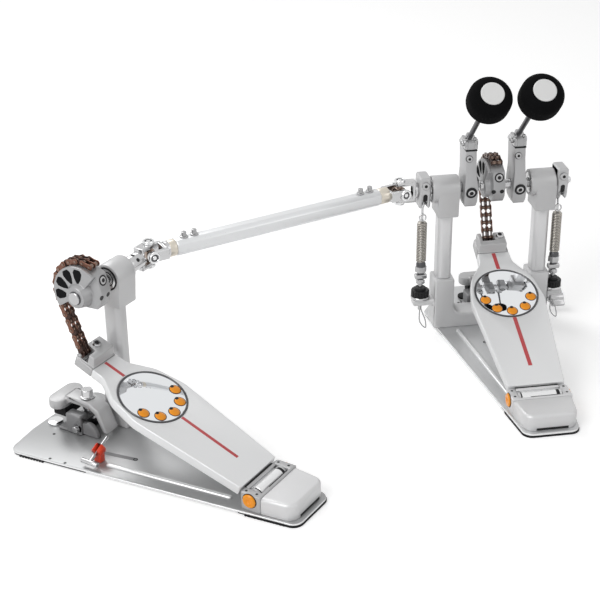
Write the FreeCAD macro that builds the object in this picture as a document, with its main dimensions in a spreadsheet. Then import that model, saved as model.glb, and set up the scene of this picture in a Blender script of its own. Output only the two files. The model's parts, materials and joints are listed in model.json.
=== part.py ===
"""Double bass drum pedal: a main pedal with two beaters, a second pedal and the link between them."""
import FreeCAD, Part
import math
import os
import re

import Sketcher
from FreeCAD import Placement, Rotation, Vector

# Driving dimensions in millimetres and degrees. Each pedal has its own frame: X across, Y towards the drum,
# Z up, with its origin on the floor below the middle of its shaft.
SIZES = {
    "shaft_height": 195.0,
    "shaft_radius": 6.0,
    "running_gap": 0.05,
    "seat_gap": 0.02,
    "slide_gap": 0.3,
    "open_gap": 1.2,
    # The second pedal stands to the left of the main one, turned towards the player
    "slave_x": -499.0,
    "slave_y": -198.0,
    "slave_yaw_angle": 49.4,
    # Base plates and the rubber under them
    "rubber_thickness": 2.0,
    "rubber_inset": 1.0,
    "plate_top": 5.0,
    "plate_heel_reach": 56.0,
    "plate_heel_half": 32.0,
    "main_plate_half": 76.0,
    "main_plate_side_y": 40.0,
    "main_nose_half": 34.0,
    "main_nose_y": 104.0,
    "slave_plate_half": 76.0,
    "slave_plate_side_y": 78.0,
    "slave_nose_half": 27.0,
    "slave_nose_y": 84.5,
    "plate_corner_radius": 12.0,
    "heel_rubber_reach": 13.0,
    "front_rubber_y": -20.0,
    "bead_height": 2.5,
    "bead_width": 6.0,
    "bead_inset": 15.0,
    "bead_heel_reach": 28.0,
    "bead_front_y": -35.0,
    # Pedestals, posts and bearing housings
    "pedestal_back_y": -10.0,
    "pedestal_depth": 31.0,
    "pedestal_bridge_z": 24.0,
    "column_half": 13.0,
    "column_inner_radius": 12.0,
    "casting_edge_radius": 3.0,
    "main_post_x": 62.0,
    "main_column_z": 73.0,
    "slave_post_x": 39.0,
    "slave_column_z": 60.0,
    "post_half_wide": 9.5,
    "post_half_deep": 11.0,
    "post_chamfer": 4.0,
    "post_y": 5.5,
    "housing_drop": 34.0,
    "housing_half_wide": 13.0,
    "housing_half_deep": 14.5,
    "barrel_radius": 20.5,
    "main_left_barrel_x0": -82.0,
    "main_left_barrel_x1": -48.0,
    "main_right_barrel_x0": 42.0,
    "main_right_barrel_x1": 74.0,
    "slave_barrel_x0": 22.0,
    "slave_barrel_x1": 52.5,
    "bearing_radius": 13.0,
    "bearing_width": 8.0,
    # Heel hinge
    "toe_y": 23.185,
    "toe_drop": 85.3824,
    "hinge_z": 18.0,
    "hinge_pin_radius": 4.0,
    "hinge_barrel_radius": 7.5,
    "hinge_barrel_half": 26.0,
    "cheek_half": 36.0,
    "heel_block_front": 12.0,
    "heel_block_back": 13.0,
    "heel_block_z": 25.5,
    "heel_window_back": 9.0,
    "hinge_cap_radius": 8.0,
    "hinge_cap_thickness": 2.5,
    "heel_cap_back": 51.0,
    "heel_cap_half": 31.0,
    "heel_cap_z": 24.5,
    "heel_cap_corner": 11.0,
    "heel_cap_edge": 4.0,
    # Footboard, in a frame on the hinge axis that runs up the board
    "board_top": 6.0,
    "board_thickness": 4.5,
    "board_skirt": 11.0,
    "board_wall": 4.0,
    "board_rim_radius": 1.2,
    "hinge_web_half": 2.5,
    "board_heel_d": 15.0,
    "board_heel_half": 34.0,
    "board_wide_back": 35.0,
    "board_wide_half": 46.0,
    "board_shoulder_back": 27.0,
    "board_shoulder_half": 39.0,
    "board_neck_back": 46.0,
    "board_neck_half": 21.0,
    "board_toe_d": 258.0,
    "board_toe_half": 19.5,
    "board_shoulder_radius": 34.0,
    "board_neck_radius": 16.0,
    "disc_back": 98.3,
    "disc_radius": 39.4,
    "disc_thickness": 2.0,
    "grip_count": 5,
    "grip_step_angle": 36.0,
    "grip_circle_radius": 30.0,
    "grip_radius": 6.4,
    "grip_height": 1.6,
    "toe_block_back": 32.0,
    "toe_block_slope": 5.0,
    "toe_block_height": 13.0,
    "toe_block_half": 17.5,
    "toe_block_inset": 1.0,
    "toe_slot_back": 18.0,
    "toe_slot_floor": 1.4,
    # Drive cam and chain
    "main_chain_x": -4.0,
    "slave_chain_x": -13.0,
    "chain_pitch": 9.5,
    "chain_circle": 37.0,
    "chain_leave_angle": -22.0,
    "chain_wrap_links": 7,
    "chain_free_links": 2,
    "chain_drop_links": 7,
    "link_half_height": 3.6,
    "link_plate": 1.2,
    "link_inner_x": 4.2,
    "link_outer_x": 5.7,
    "link_pin_radius": 1.5,
    "link_roller_radius": 2.5,
    "link_hole_radius": 1.75,
    "end_link_half_height": 4.9,
    "end_link_hole_radius": 3.3,
    "toe_pin_radius": 1.4,
    "toe_pin_head": 2.6,
    "link_bevel_share": 0.42,
    "cam_hub_radius": 14.5,
    "cam_track_radius": 32.8,
    "cam_track_half": 6.0,
    "cam_disc_radius": 33.5,
    "cam_cheek_out": 12.5,
    "cam_cheek_in": 8.5,
    "main_cam_hub_x0": -16.5,
    "slave_cam_hub_x0": -31.0,
    "cam_start_angle": -34.0,
    "cam_sweep_angle": 164.0,
    "cam_petal_count": 4,
    "cam_petal_first_angle": -7.0,
    "cam_petal_step_angle": 33.0,
    "cam_petal_inner": 17.0,
    "cam_petal_outer": 30.0,
    "cam_petal_half": 4.4,
    "cam_petal_tip": 2.0,
    "cam_petal_depth": 5.5,
    "cam_block_out": 13.5,
    "cam_block_back": 27.0,
    "cam_block_bevel": 5.0,
    "cam_block_shoulder": 6.0,
    "cam_block_crown": 9.0,
    "cam_block_lap": 2.0,
    "cam_block_lap_z": 4.0,
    "cam_block_toe": 3.0,
    "cam_block_heel": 19.0,
    "cam_block_top": 31.0,
    "cam_block_foot": -14.0,
    # Shafts
    "main_shaft_x0": -20.0,
    "main_shaft_x1": 93.0,
    "left_shaft_x1": -21.5,
    "slave_shaft_x0": -33.0,
    # Beaters
    "right_hub_x": 27.0,
    "left_hub_x": -34.5,
    "hub_half": 8.5,
    "hub_foot_z": -22.0,
    "hub_foot_back": 13.0,
    "hub_foot_front": 11.0,
    "hub_waist_back": 17.0,
    "hub_waist_front": 18.0,
    "hub_neck_back": 10.0,
    "hub_neck_z": 34.0,
    "hub_chin_front": 23.0,
    "hub_chin_z": 54.0,
    "hub_top_z": 63.0,
    "hub_crown_drop": 2.0,
    "hub_edge_radius": 4.0,
    "beater_lean_angle": 46.0,
    "beater_socket_y": 9.0,
    "beater_socket_z": 58.0,
    "beater_socket_half": 40.0,
    "beater_rod_radius": 3.2,
    "beater_rod_below": 15.0,
    "beater_reach": 112.0,
    "beater_head_radius": 26.0,
    "beater_head_height": 36.0,
    "beater_head_edge": 12.0,
    "beater_cap_radius": 14.0,
    "beater_cap_height": 1.5,
    # Return springs
    "left_spring_x": -91.5,
    "right_spring_x": 82.5,
    "rocker_half": 7.0,
    "rocker_top_z": 20.0,
    "rocker_foot_z": -21.0,
    "rocker_foot_half": 11.0,
    "rocker_waist_half": 14.0,
    "rocker_edge_radius": 3.0,
    "rocker_slot_z": -10.5,
    "rocker_slot_half": 3.2,
    "rocker_pin_drop": 16.5,
    "rocker_pin_radius": 2.0,
    "spring_pitch": 4.1,
    "spring_mean_radius": 5.7,
    "spring_wire_radius": 0.95,
    "spring_bottom_z": 92.5,
    "spring_top_drop": 45.0,
    "spring_cup_height": 2.0,
    "spring_rod_radius": 2.5,
    "spring_rod_bottom_z": 14.0,
    "spring_seat_radius": 6.6,
    "spring_seat_height": 8.0,
    "hook_ring_radius": 4.0,
    "hook_wire_radius": 1.3,
    "lug_z0": 38.0,
    "lug_z1": 46.0,
    "lug_half_deep": 8.0,
    "nut_radius": 11.5,
    "nut_z0": 47.0,
    "nut_height": 15.0,
    "nut_clearance": 0.8,
    # Telescopic link and its universal joints
    "main_joint_x": -121.0,
    "slave_joint_x": 98.0,
    "yoke_back": 15.5,
    "yoke_hub_radius": 9.5,
    "link_yoke_hub_length": 7.0,
    "left_yoke_hub_length": 2.6,
    "slave_yoke_hub_length": 20.0,
    "yoke_web": 4.0,
    "yoke_arm_inner": 8.5,
    "yoke_arm_outer": 13.5,
    "yoke_arm_half": 6.2,
    "cross_pin_radius": 3.0,
    "cross_half": 5.0,
    "cross_open_gap": 0.45,
    "tube_start": 32.0,
    "tube_end_gap": 31.85,
    "tube_flat_half": 9.5,
    "tube_chamfer": 4.5,
    "tube_bore_radius": 7.3,
    "link_rod_radius": 7.0,
    "link_rod_overlap": 95.0,
    "lock_bolt_radius": 3.0,
    "lock_bolt_head": 7.0,
    "lock_bolt_inset": 12.0,
    "lock_bolt_spacing": 13.0,
    # Hoop clamps
    "main_clamp_x": 0.0,
    "slave_clamp_x": 9.0,
    "clamp_half": 22.0,
    "clamp_back_y": 25.5,
    "clamp_front_y": 60.0,
    "clamp_cheek_front_y": 47.0,
    "clamp_z": 30.0,
    "clamp_floor_z": 8.0,
    "clamp_bridge_z0": 20.0,
    "clamp_bridge_z1": 24.0,
    "clamp_foot_x": -13.0,
    "clamp_foot_y": 71.0,
    "clamp_foot_radius": 9.0,
    "clamp_foot_height": 2.5,
    "arch_x": -18.0,
    "arch_width": 6.0,
    "arch_y": 18.5,
    "arch_half": 14.0,
    "arch_height": 17.0,
    "clamp_channel_half": 9.0,
    "clamp_screw_y": 31.0,
    "clamp_screw_z": 14.0,
    "clamp_screw_radius": 4.0,
    "main_screw_x1": 110.0,
    "slave_screw_x1": 93.0,
    "clamp_screw_x0": -27.0,
    "wing_reach": 12.5,
    "wing_length": 20.0,
    "wing_half_thick": 2.4,
    "wing_angle": 35.0,
    "lever_z0": 36.0,
    "lever_z1": 44.0,
    "lever_half": 10.5,
    "lever_front_y": 56.0,
    "arm_knee_y": 22.0,
    "arm_bend_y": 8.0,
    "arm_bend_z": 37.0,
    "arm_tail_y": -3.0,
    "arm_tail_z": 10.0,
    "arm_thickness": 7.0,
    "jaw_half": 24.0,
    "jaw_back_y": 52.0,
    "jaw_front_y": 74.0,
    "jaw_z0": 30.0,
    "jaw_z1": 41.5,
    "jaw_pad_thickness": 13.0,
    "clamp_bolt_y": 31.0,
    "clamp_bolt_radius": 4.0,
    "clamp_bolt_head": 7.0,
    "clamp_bolt_height": 8.5,
    "clamp_sleeve_radius": 6.0,
    "clamp_sleeve_gap": 0.6,
    # Tuning key and its clip on the second pedal
    "key_x": -41.0,
    "key_y": -23.0,
    "key_z": 19.0,
    "key_rise_angle": 24.0,
    "key_radius": 2.2,
    "key_length": 36.0,
    "key_grip_radius": 2.8,
    "key_grip_half": 11.0,
    "clip_radius": 6.5,
    "clip_half": 5.0,
    "clip_foot_half": 4.0,
}
# Sizes that follow from the ones above
DERIVED = {
    "board_angle": "asin((shaft_height - toe_drop - hinge_z) / board_toe_d) / 1 deg",
    "hinge_y": "toe_y - board_toe_d * cos(board_angle * 1 deg)",
    "plate_heel_y": "hinge_y - plate_heel_reach",
    "heel_rubber_y": "hinge_y + heel_rubber_reach",
    "bead_heel_y": "hinge_y + bead_heel_reach",
    "heel_block_front_y": "hinge_y + heel_block_front",
    "heel_block_back_y": "hinge_y - heel_block_back",
    "heel_window_back_y": "hinge_y - heel_window_back",
    "heel_cap_back_y": "hinge_y - heel_cap_back",
    "board_neck_d": "board_toe_d - board_neck_back",
    "board_shoulder_d": "board_neck_d - board_shoulder_back",
    "board_wide_d": "board_shoulder_d - board_wide_back",
    "disc_d": "board_toe_d - disc_back",
    "toe_block_d": "board_toe_d - toe_block_back",
    "toe_slot_d": "board_toe_d - toe_slot_back",
    "housing_foot_z": "shaft_height - housing_drop",
    "spring_top_z": "shaft_height - spring_top_drop",
    "link_span_x": "main_joint_x - slave_x - slave_joint_x * cos(slave_yaw_angle * 1 deg)",
    "link_span_y": "0 - slave_y - slave_joint_x * sin(slave_yaw_angle * 1 deg)",
    "link_span": "sqrt(link_span_x * link_span_x + link_span_y * link_span_y)",
    "tube_end": "link_span - tube_end_gap",
}

WORD = re.compile(r"[a-z][a-z_0-9]*")
AXES = {"X": Vector(1, 0, 0), "Y": Vector(0, 1, 0), "Z": Vector(0, 0, 1)}
TURNS = {"X": Rotation(Vector(0, 1, 0), 90), "Y": Rotation(Vector(1, 0, 0), -90), "Z": Rotation()}

doc = FreeCAD.newDocument("DoublePedal")
sheet = doc.addObject("Spreadsheet::Sheet", "Sizes")
NAMES = {**SIZES, **DERIVED}
for row, (alias, size) in enumerate(NAMES.items(), 1):
    sheet.set(f"A{row}", alias)
    sheet.set(f"B{row}", f"={size}" if alias in DERIVED else str(size))
    sheet.setAlias(f"B{row}", alias)
doc.recompute()
nodes = {}


def bound(text):
    """An expression over size names, as the document writes it."""
    return WORD.sub(lambda m: f"Sizes.{m.group(0)}" if m.group(0) in NAMES else m.group(0), str(text))


def number(text):
    """The present value of an expression over size names."""
    return float(sheet.evalExpression(bound(text)))


def bind(obj, **sizes):
    for prop, text in sizes.items():
        obj.setExpression(prop.replace("__", "."), bound(text))
    return obj


def box(name, x, y, z):
    """A block between two values on each axis."""
    obj = doc.addObject("Part::Box", name)
    spans = {"Length": x, "Width": y, "Height": z}
    bind(obj, **{prop: f"({b}) - ({a})" for prop, (a, b) in spans.items()})
    return bind(obj, Placement__Base__x=x[0], Placement__Base__y=y[0], Placement__Base__z=z[0])


def rod(name, radius, axis, start, length):
    """A cylinder that runs from start along one axis."""
    obj = doc.addObject("Part::Cylinder", name)
    obj.Placement.Rotation = TURNS[axis]
    bind(obj, Radius=radius, Height=length)
    return bind(obj, Placement__Base__x=start[0], Placement__Base__y=start[1], Placement__Base__z=start[2])


def fused(name, *pieces):
    obj = doc.addObject("Part::MultiFuse", name)
    obj.Shapes = list(pieces)
    obj.Refine = True
    return obj


def cut(name, base, *tools):
    obj = doc.addObject("Part::Cut", name)
    obj.Base = base
    obj.Tool = tools[0] if len(tools) == 1 else fused(name + "Tools", *tools)
    obj.Refine = True
    return obj


def outline(body, name, plane, points, start):
    """A closed sketch of straight edges whose corners are bound to the sizes."""
    sketch = body.newObject("Sketcher::SketchObject", name)
    support = [f for f in body.Origin.OriginFeatures if f.Role == f"{plane}_Plane"][0]
    sketch.AttachmentSupport = [(support, "")]
    sketch.MapMode = "FlatFace"
    along = f"-({start})" if plane == "XZ" else start
    sketch.setExpression("AttachmentOffset.Base.z", bound(along))
    values = [(number(a), number(b)) for a, b in points]
    count = len(points)
    for i in range(count):
        a, b = values[i], values[(i + 1) % count]
        sketch.addGeometry(Part.LineSegment(Vector(a[0], a[1], 0), Vector(b[0], b[1], 0)))
    for i in range(count):
        sketch.addConstraint(Sketcher.Constraint("Coincident", i, 2, (i + 1) % count, 1))
    for i in range(count):
        for kind, k in (("DistanceX", 0), ("DistanceY", 1)):
            index = sketch.addConstraint(Sketcher.Constraint(kind, -1, 1, i, 1, values[i][k]))
            sketch.setExpression(f"Constraints[{index}]", bound(points[i][k]))
    return sketch


def prism(name, plane, points, start, length):
    """A body padded from a straight-edged outline, from start along the plane's positive axis."""
    body = doc.addObject("PartDesign::Body", name)
    pad = body.newObject("PartDesign::Pad", name + "Pad")
    pad.Profile = outline(body, name + "Outline", plane, points, start)
    pad.Reversed = plane == "XZ"
    bind(pad, Length=length)
    doc.recompute()
    return body


def pocket(body, name, plane, points, start, length):
    """A pocket cut in a body from start along the plane's positive axis."""
    feature = body.newObject("PartDesign::Pocket", name)
    feature.Profile = outline(body, name + "Outline", plane, points, start)
    feature.Reversed = plane != "XZ"
    before = body.Shape.Volume
    bind(feature, Length=length)
    doc.recompute()
    if body.Shape.Volume >= before:
        raise RuntimeError(f"{name} cut nothing")
    return body


def rounded(body, name, radius, wanted):
    """A fillet on the edges of a body's tip that a test picks."""
    doc.recompute()
    tip = body.Tip
    picked = [f"Edge{i}" for i, edge in enumerate(tip.Shape.Edges, 1) if wanted(edge)]
    feature = body.newObject("PartDesign::Fillet", name)
    feature.Base = (tip, picked)
    bind(feature, Radius=radius)
    doc.recompute()
    return body


def runs_along(edge, axis):
    if edge.Curve.TypeId != "Part::GeomLine":
        return False
    return abs(abs(edge.tangentAt(edge.FirstParameter).dot(AXES[axis])) - 1) < 1e-6


def at(edge, axis, *values):
    """Whether an edge's middle lies at one of the values on an axis, either side of zero."""
    middle = abs(edge.CenterOfMass.dot(AXES[axis]))
    return any(abs(middle - abs(number(v))) < 0.01 for v in values)


def node(label, pieces, place=Placement()):
    """Names the pieces of one sub-part and sets them in place."""
    obj = pieces[0]
    if len(pieces) > 1 or obj.TypeId in ("Part::Box", "Part::Cylinder"):
        obj = doc.addObject("Part::Compound", "Set_" + label)
        obj.Links = list(pieces)
    obj.Label = label
    obj.Placement = place
    nodes[label] = obj
    return obj


def feature(name, shape):
    obj = doc.addObject("Part::Feature", name)
    obj.Shape = shape
    return obj


MAIN = Placement()
SLAVE = Placement(Vector(number("slave_x"), number("slave_y"), 0),
                  Rotation(AXES["Z"], number("slave_yaw_angle")))
BOARD = Placement(Vector(0, number("hinge_y"), number("hinge_z")), Rotation(AXES["X"], number("board_angle")))
SHAFT = Placement(Vector(0, 0, number("shaft_height")), Rotation())
PEDALS = {"main": MAIN, "slave": SLAVE}


def plate_edge(pedal, y):
    """Half width of a base plate at y, along its straight side."""
    side = f"{pedal}_plate_half - plate_heel_half"
    return f"(plate_heel_half + ({side}) * (({y}) - plate_heel_y) / ({pedal}_plate_side_y - plate_heel_y))"


def make_base(pedal, place):
    """Base plate with two pressed beads, and the rubber pads that it stands on."""
    heel, half, nose = "plate_heel_half", f"{pedal}_plate_half", f"{pedal}_nose_half"
    side_y, nose_y = f"{pedal}_plate_side_y", f"{pedal}_nose_y"
    corners = [(f"-{heel}", "plate_heel_y"), (heel, "plate_heel_y"), (half, side_y), (nose, nose_y),
               (f"-{nose}", nose_y), (f"-{half}", side_y)]
    plate = prism(f"{pedal}_plate", "XY", corners, "rubber_thickness", "plate_top - rubber_thickness")
    rounded(plate, f"{pedal}_plate_corners", "plate_corner_radius", lambda e: runs_along(e, "Z"))
    for sign, side in (("-", "left"), ("", "right")):
        bead = []
        for y, shift in (("bead_heel_y", "0"), ("bead_heel_y", "bead_width"),
                         ("bead_front_y", "bead_width"), ("bead_front_y", "0")):
            bead.append((f"{sign}({plate_edge(pedal, y)} - bead_inset + {shift})", y))
        pad = plate.newObject("PartDesign::Pad", f"{pedal}_bead_{side}")
        pad.Profile = outline(plate, f"{pedal}_bead_{side}_outline", "XY", bead, "plate_top")
        bind(pad, Length="bead_height")
    doc.recompute()
    node(f"{pedal}_base_plate", [plate], place)

    def inner(y):
        return f"({plate_edge(pedal, y)} - rubber_inset)"
    back = "plate_heel_y + rubber_inset"
    heel_pad = [(f"-{inner(back)}", back), (inner(back), back), (inner("heel_rubber_y"), "heel_rubber_y"),
                (f"-{inner('heel_rubber_y')}", "heel_rubber_y")]
    tip_half, tip_y = f"{nose} - rubber_inset", f"{nose_y} - rubber_inset"
    front_pad = [(f"-{inner('front_rubber_y')}", "front_rubber_y"),
                 (inner("front_rubber_y"), "front_rubber_y"),
                 (inner(side_y), side_y), (tip_half, tip_y), (f"-({tip_half})", tip_y),
                 (f"-{inner(side_y)}", side_y)]
    pads = []
    for name, points, ends in (("heel", heel_pad, (back,)), ("front", front_pad, (side_y, tip_y))):
        pad = prism(f"{pedal}_{name}_rubber", "XY", points, "0", "rubber_thickness")
        rounded(pad, f"{pedal}_{name}_rubber_corners", "plate_corner_radius - rubber_inset",
                lambda e: runs_along(e, "Z") and at(e, "Y", *ends))
        pads.append(pad)
    node(f"{pedal}_base_rubber", pads, place)


def make_heel(pedal, place):
    """Hinge bracket with its window, the heel plate behind it and the hinge pin with its end caps."""
    inner = "hinge_barrel_half + slide_gap"
    block = prism(f"{pedal}_heel", "XY", [("-cheek_half", "heel_block_back_y"),
                                          ("cheek_half", "heel_block_back_y"),
                  ("cheek_half", "heel_block_front_y"), (inner, "heel_block_front_y"),
                  (inner, "heel_window_back_y"), (f"-({inner})", "heel_window_back_y"),
                  (f"-({inner})", "heel_block_front_y"), ("-cheek_half", "heel_block_front_y")],
                  "plate_top", "heel_block_z - plate_top")
    rounded(block, f"{pedal}_heel_edges", "casting_edge_radius",
            lambda e: runs_along(e, "Z") and at(e, "Y", "heel_block_front_y") and at(e, "X", "cheek_half"))
    pin = rod(f"{pedal}_pin_hole", "hinge_pin_radius + seat_gap", "X",
              ("-cheek_half - 1", "hinge_y", "hinge_z"),
              "2 * cheek_half + 2")
    bracket = cut(f"{pedal}_heel_bored", block, pin)
    cap = prism(f"{pedal}_heel_cap", "XY", [("-heel_cap_half", "heel_cap_back_y"),
                                            ("heel_cap_half", "heel_cap_back_y"),
                ("heel_cap_half", "heel_block_back_y - seat_gap"),
                ("-heel_cap_half", "heel_block_back_y - seat_gap")],
                "plate_top", "heel_cap_z - plate_top")
    rounded(cap, f"{pedal}_heel_cap_corners", "heel_cap_corner",
            lambda e: runs_along(e, "Z") and at(e, "Y", "heel_cap_back_y"))
    top = number("heel_cap_z")
    front = number("heel_block_back_y - seat_gap")
    rounded(cap, f"{pedal}_heel_cap_edge", "heel_cap_edge",
            lambda e: abs(e.CenterOfMass.z - top) < 0.01 and abs(e.CenterOfMass.y - front) > 0.01)
    node(f"{pedal}_heel_block", [bracket, cap], place)

    pieces = [rod(f"{pedal}_hinge_pin", "hinge_pin_radius", "X", ("-cheek_half", "hinge_y", "hinge_z"),
                  "2 * cheek_half")]
    for side, x in (("left", "-cheek_half - hinge_cap_thickness"), ("right", "cheek_half")):
        pieces.append(rod(f"{pedal}_{side}_hinge_cap", "hinge_cap_radius", "X", (x, "hinge_y", "hinge_z"),
                          "hinge_cap_thickness"))
    node(f"{pedal}_hinge_pin", pieces, place)


def make_footboard(pedal, place):
    """Footboard with its hinge barrel and toe block, the traction disc let into it and the disc's grips."""
    half = [("board_heel_half", "board_heel_d"), ("board_wide_half", "board_wide_d"),
            ("board_shoulder_half", "board_shoulder_d"), ("board_neck_half", "board_neck_d"),
            ("board_toe_half", "board_toe_d")]
    right = list(half)
    left = [(f"-{x}", d) for x, d in reversed(half)]
    board = prism(f"{pedal}_board", "XY", right + left, "board_top - board_skirt", "board_skirt")
    rounded(board, f"{pedal}_board_wide", "board_shoulder_radius",
            lambda e: runs_along(e, "Z") and at(e, "Y", "board_shoulder_d", "board_wide_d"))
    rounded(board, f"{pedal}_board_neck", "board_neck_radius",
            lambda e: runs_along(e, "Z") and at(e, "Y", "board_neck_d"))
    inside = [("board_heel_half - board_wall", "board_heel_d + board_wall"),
              ("board_wide_half - board_wall - 2", "board_wide_d"),
              ("board_shoulder_half - board_wall - 4", "board_shoulder_d"),
              ("board_neck_half - board_wall", "board_neck_d"),
              ("board_toe_half - board_wall", "toe_block_d - board_wall")]
    hollow = inside + [(f"-({x})", d) for x, d in reversed(inside)]
    pocket(board, f"{pedal}_board_hollow", "XY", hollow, "board_top - board_skirt",
           "board_skirt - board_thickness")
    top = number("board_top")
    rounded(board, f"{pedal}_board_rim", "board_rim_radius", lambda e: abs(e.CenterOfMass.z - top) < 0.01)
    recess = rod(f"{pedal}_disc_recess", "disc_radius + seat_gap", "Z",
                 ("0", "disc_d", "board_top - disc_thickness"),
                 "2 * disc_thickness")
    barrel = rod(f"{pedal}_hinge_barrel", "hinge_barrel_radius", "X", ("-hinge_barrel_half", "0", "0"),
                 "2 * hinge_barrel_half")
    web = box(f"{pedal}_hinge_web", ("-hinge_barrel_half + 4", "hinge_barrel_half - 4"),
              ("0", "board_heel_d + board_wall"),
              ("-hinge_web_half", "hinge_web_half"))
    foot_z, tip_d = "board_top - toe_block_inset", "board_toe_d - toe_block_inset"
    block = prism(f"{pedal}_toe_block", "YZ", [("toe_block_d - toe_block_slope", foot_z), (tip_d, foot_z),
                  (tip_d, "board_top + toe_block_height"), ("toe_block_d", "board_top + toe_block_height")],
                  "-toe_block_half", "2 * toe_block_half")
    chain_x, slot_half = f"{pedal}_chain_x", "link_outer_x + link_plate + open_gap"
    slot = box(f"{pedal}_toe_slot", (f"{chain_x} - ({slot_half})", f"{chain_x} + {slot_half}"),
               ("toe_slot_d", "board_toe_d + 2"),
               ("board_top + toe_slot_floor", "board_top + toe_block_height + 2"))
    bore = rod(f"{pedal}_hinge_bore", "hinge_pin_radius + running_gap", "X",
               ("-hinge_barrel_half - 1", "0", "0"),
               "2 * hinge_barrel_half + 2")
    solid = fused(f"{pedal}_board_solid", board, barrel, web, block)
    shell = cut(f"{pedal}_board_cut", solid, recess, slot, bore)
    toe = BOARD.inverse().multVec(SHAFT.multVec(Vector(0, *chain_points()[1][-1])))
    pin = doc.addObject("Part::Cylinder", f"{pedal}_toe_pin")
    pin.Placement = Placement(Vector(0, toe.y, toe.z), TURNS["X"])
    bind(pin, Radius="toe_pin_radius", Height=f"2 * ({slot_half}) + 2",
         Placement__Base__x=f"{chain_x} - ({slot_half}) - 1")
    head = doc.addObject("Part::Cylinder", f"{pedal}_toe_pin_head")
    head.Placement = pin.Placement
    bind(head, Radius="toe_pin_head", Height="1", Placement__Base__x=f"{chain_x} - ({slot_half}) - 1")
    place = place.multiply(BOARD)
    node(f"{pedal}_footboard", [fused(f"{pedal}_board_pinned", shell, pin, head)], place)

    disc = rod(f"{pedal}_disc", "disc_radius", "Z", ("0", "disc_d", "board_top - disc_thickness"),
               "disc_thickness")
    node(f"{pedal}_traction_disc", [disc], place)
    grips = []
    for i in range(int(number("grip_count"))):
        turn = f"({i} - (grip_count - 1) / 2) * grip_step_angle"
        spot = (f"grip_circle_radius * sin(1 deg * {turn})", f"disc_d - grip_circle_radius * cos(1 deg * {turn})",
                "board_top")
        grips.append(rod(f"{pedal}_grip_{i + 1}", "grip_radius", "Z", spot, "grip_height"))
    node(f"{pedal}_grips", grips, place)


def make_shaft_bearings(name, ends):
    """Two bearing rings for each housing, one at each end of its barrel."""
    rings = []
    for i, (x0, x1) in enumerate(ends):
        for end, x in (("in", x0), ("out", f"({x1}) - bearing_width")):
            ring = rod(f"{name}_{i}_{end}_race", "bearing_radius - seat_gap", "X", (x, "0", "shaft_height"),
                       "bearing_width")
            hole = rod(f"{name}_{i}_{end}_hole", "shaft_radius + running_gap", "X",
                       (f"{x} - 1", "0", "shaft_height"),
                       "bearing_width + 2")
            rings.append(cut(f"{name}_{i}_{end}_ring", ring, hole))
    return rings


def make_housing(name, post_x, x0, x1):
    """Bearing housing: a foot that caps the post and a barrel round the shaft."""
    foot = prism(f"{name}_foot", "XY", [(f"{post_x} - housing_half_wide", "post_y - housing_half_deep"),
                 (f"{post_x} + housing_half_wide", "post_y - housing_half_deep"),
                 (f"{post_x} + housing_half_wide", "post_y + housing_half_deep"),
                 (f"{post_x} - housing_half_wide", "post_y + housing_half_deep")],
                 "housing_foot_z", "shaft_height - housing_foot_z")
    rounded(foot, f"{name}_foot_edges", "casting_edge_radius", lambda e: runs_along(e, "Z"))
    barrel = rod(f"{name}_barrel", "barrel_radius", "X", (x0, "0", "shaft_height"), f"({x1}) - ({x0})")
    bore = rod(f"{name}_bore", "bearing_radius", "X", (f"{x0} - 1", "0", "shaft_height"),
               f"({x1}) - ({x0}) + 2")
    return cut(f"{name}_bored", fused(f"{name}_solid", foot, barrel), bore)


def make_post(name, post_x, column_z):
    """A post with bevelled corners, from its socket in the pedestal to the housing."""
    wide, deep, bevel = "post_half_wide", "post_half_deep", "post_chamfer"
    ring = []
    for sx, sy in ((1, -1), (1, 1), (-1, 1), (-1, -1)):
        far = (f"{post_x} + ({sx}) * {wide}", f"post_y + ({sy}) * ({deep} - {bevel})")
        near = (f"{post_x} + ({sx}) * ({wide} - {bevel})", f"post_y + ({sy}) * {deep}")
        ring += [near, far] if sx == -sy else [far, near]
    ring = ring[1:] + ring[:1]
    return prism(name, "XY", ring, f"{column_z}", f"housing_foot_z - {column_z}")


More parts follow.
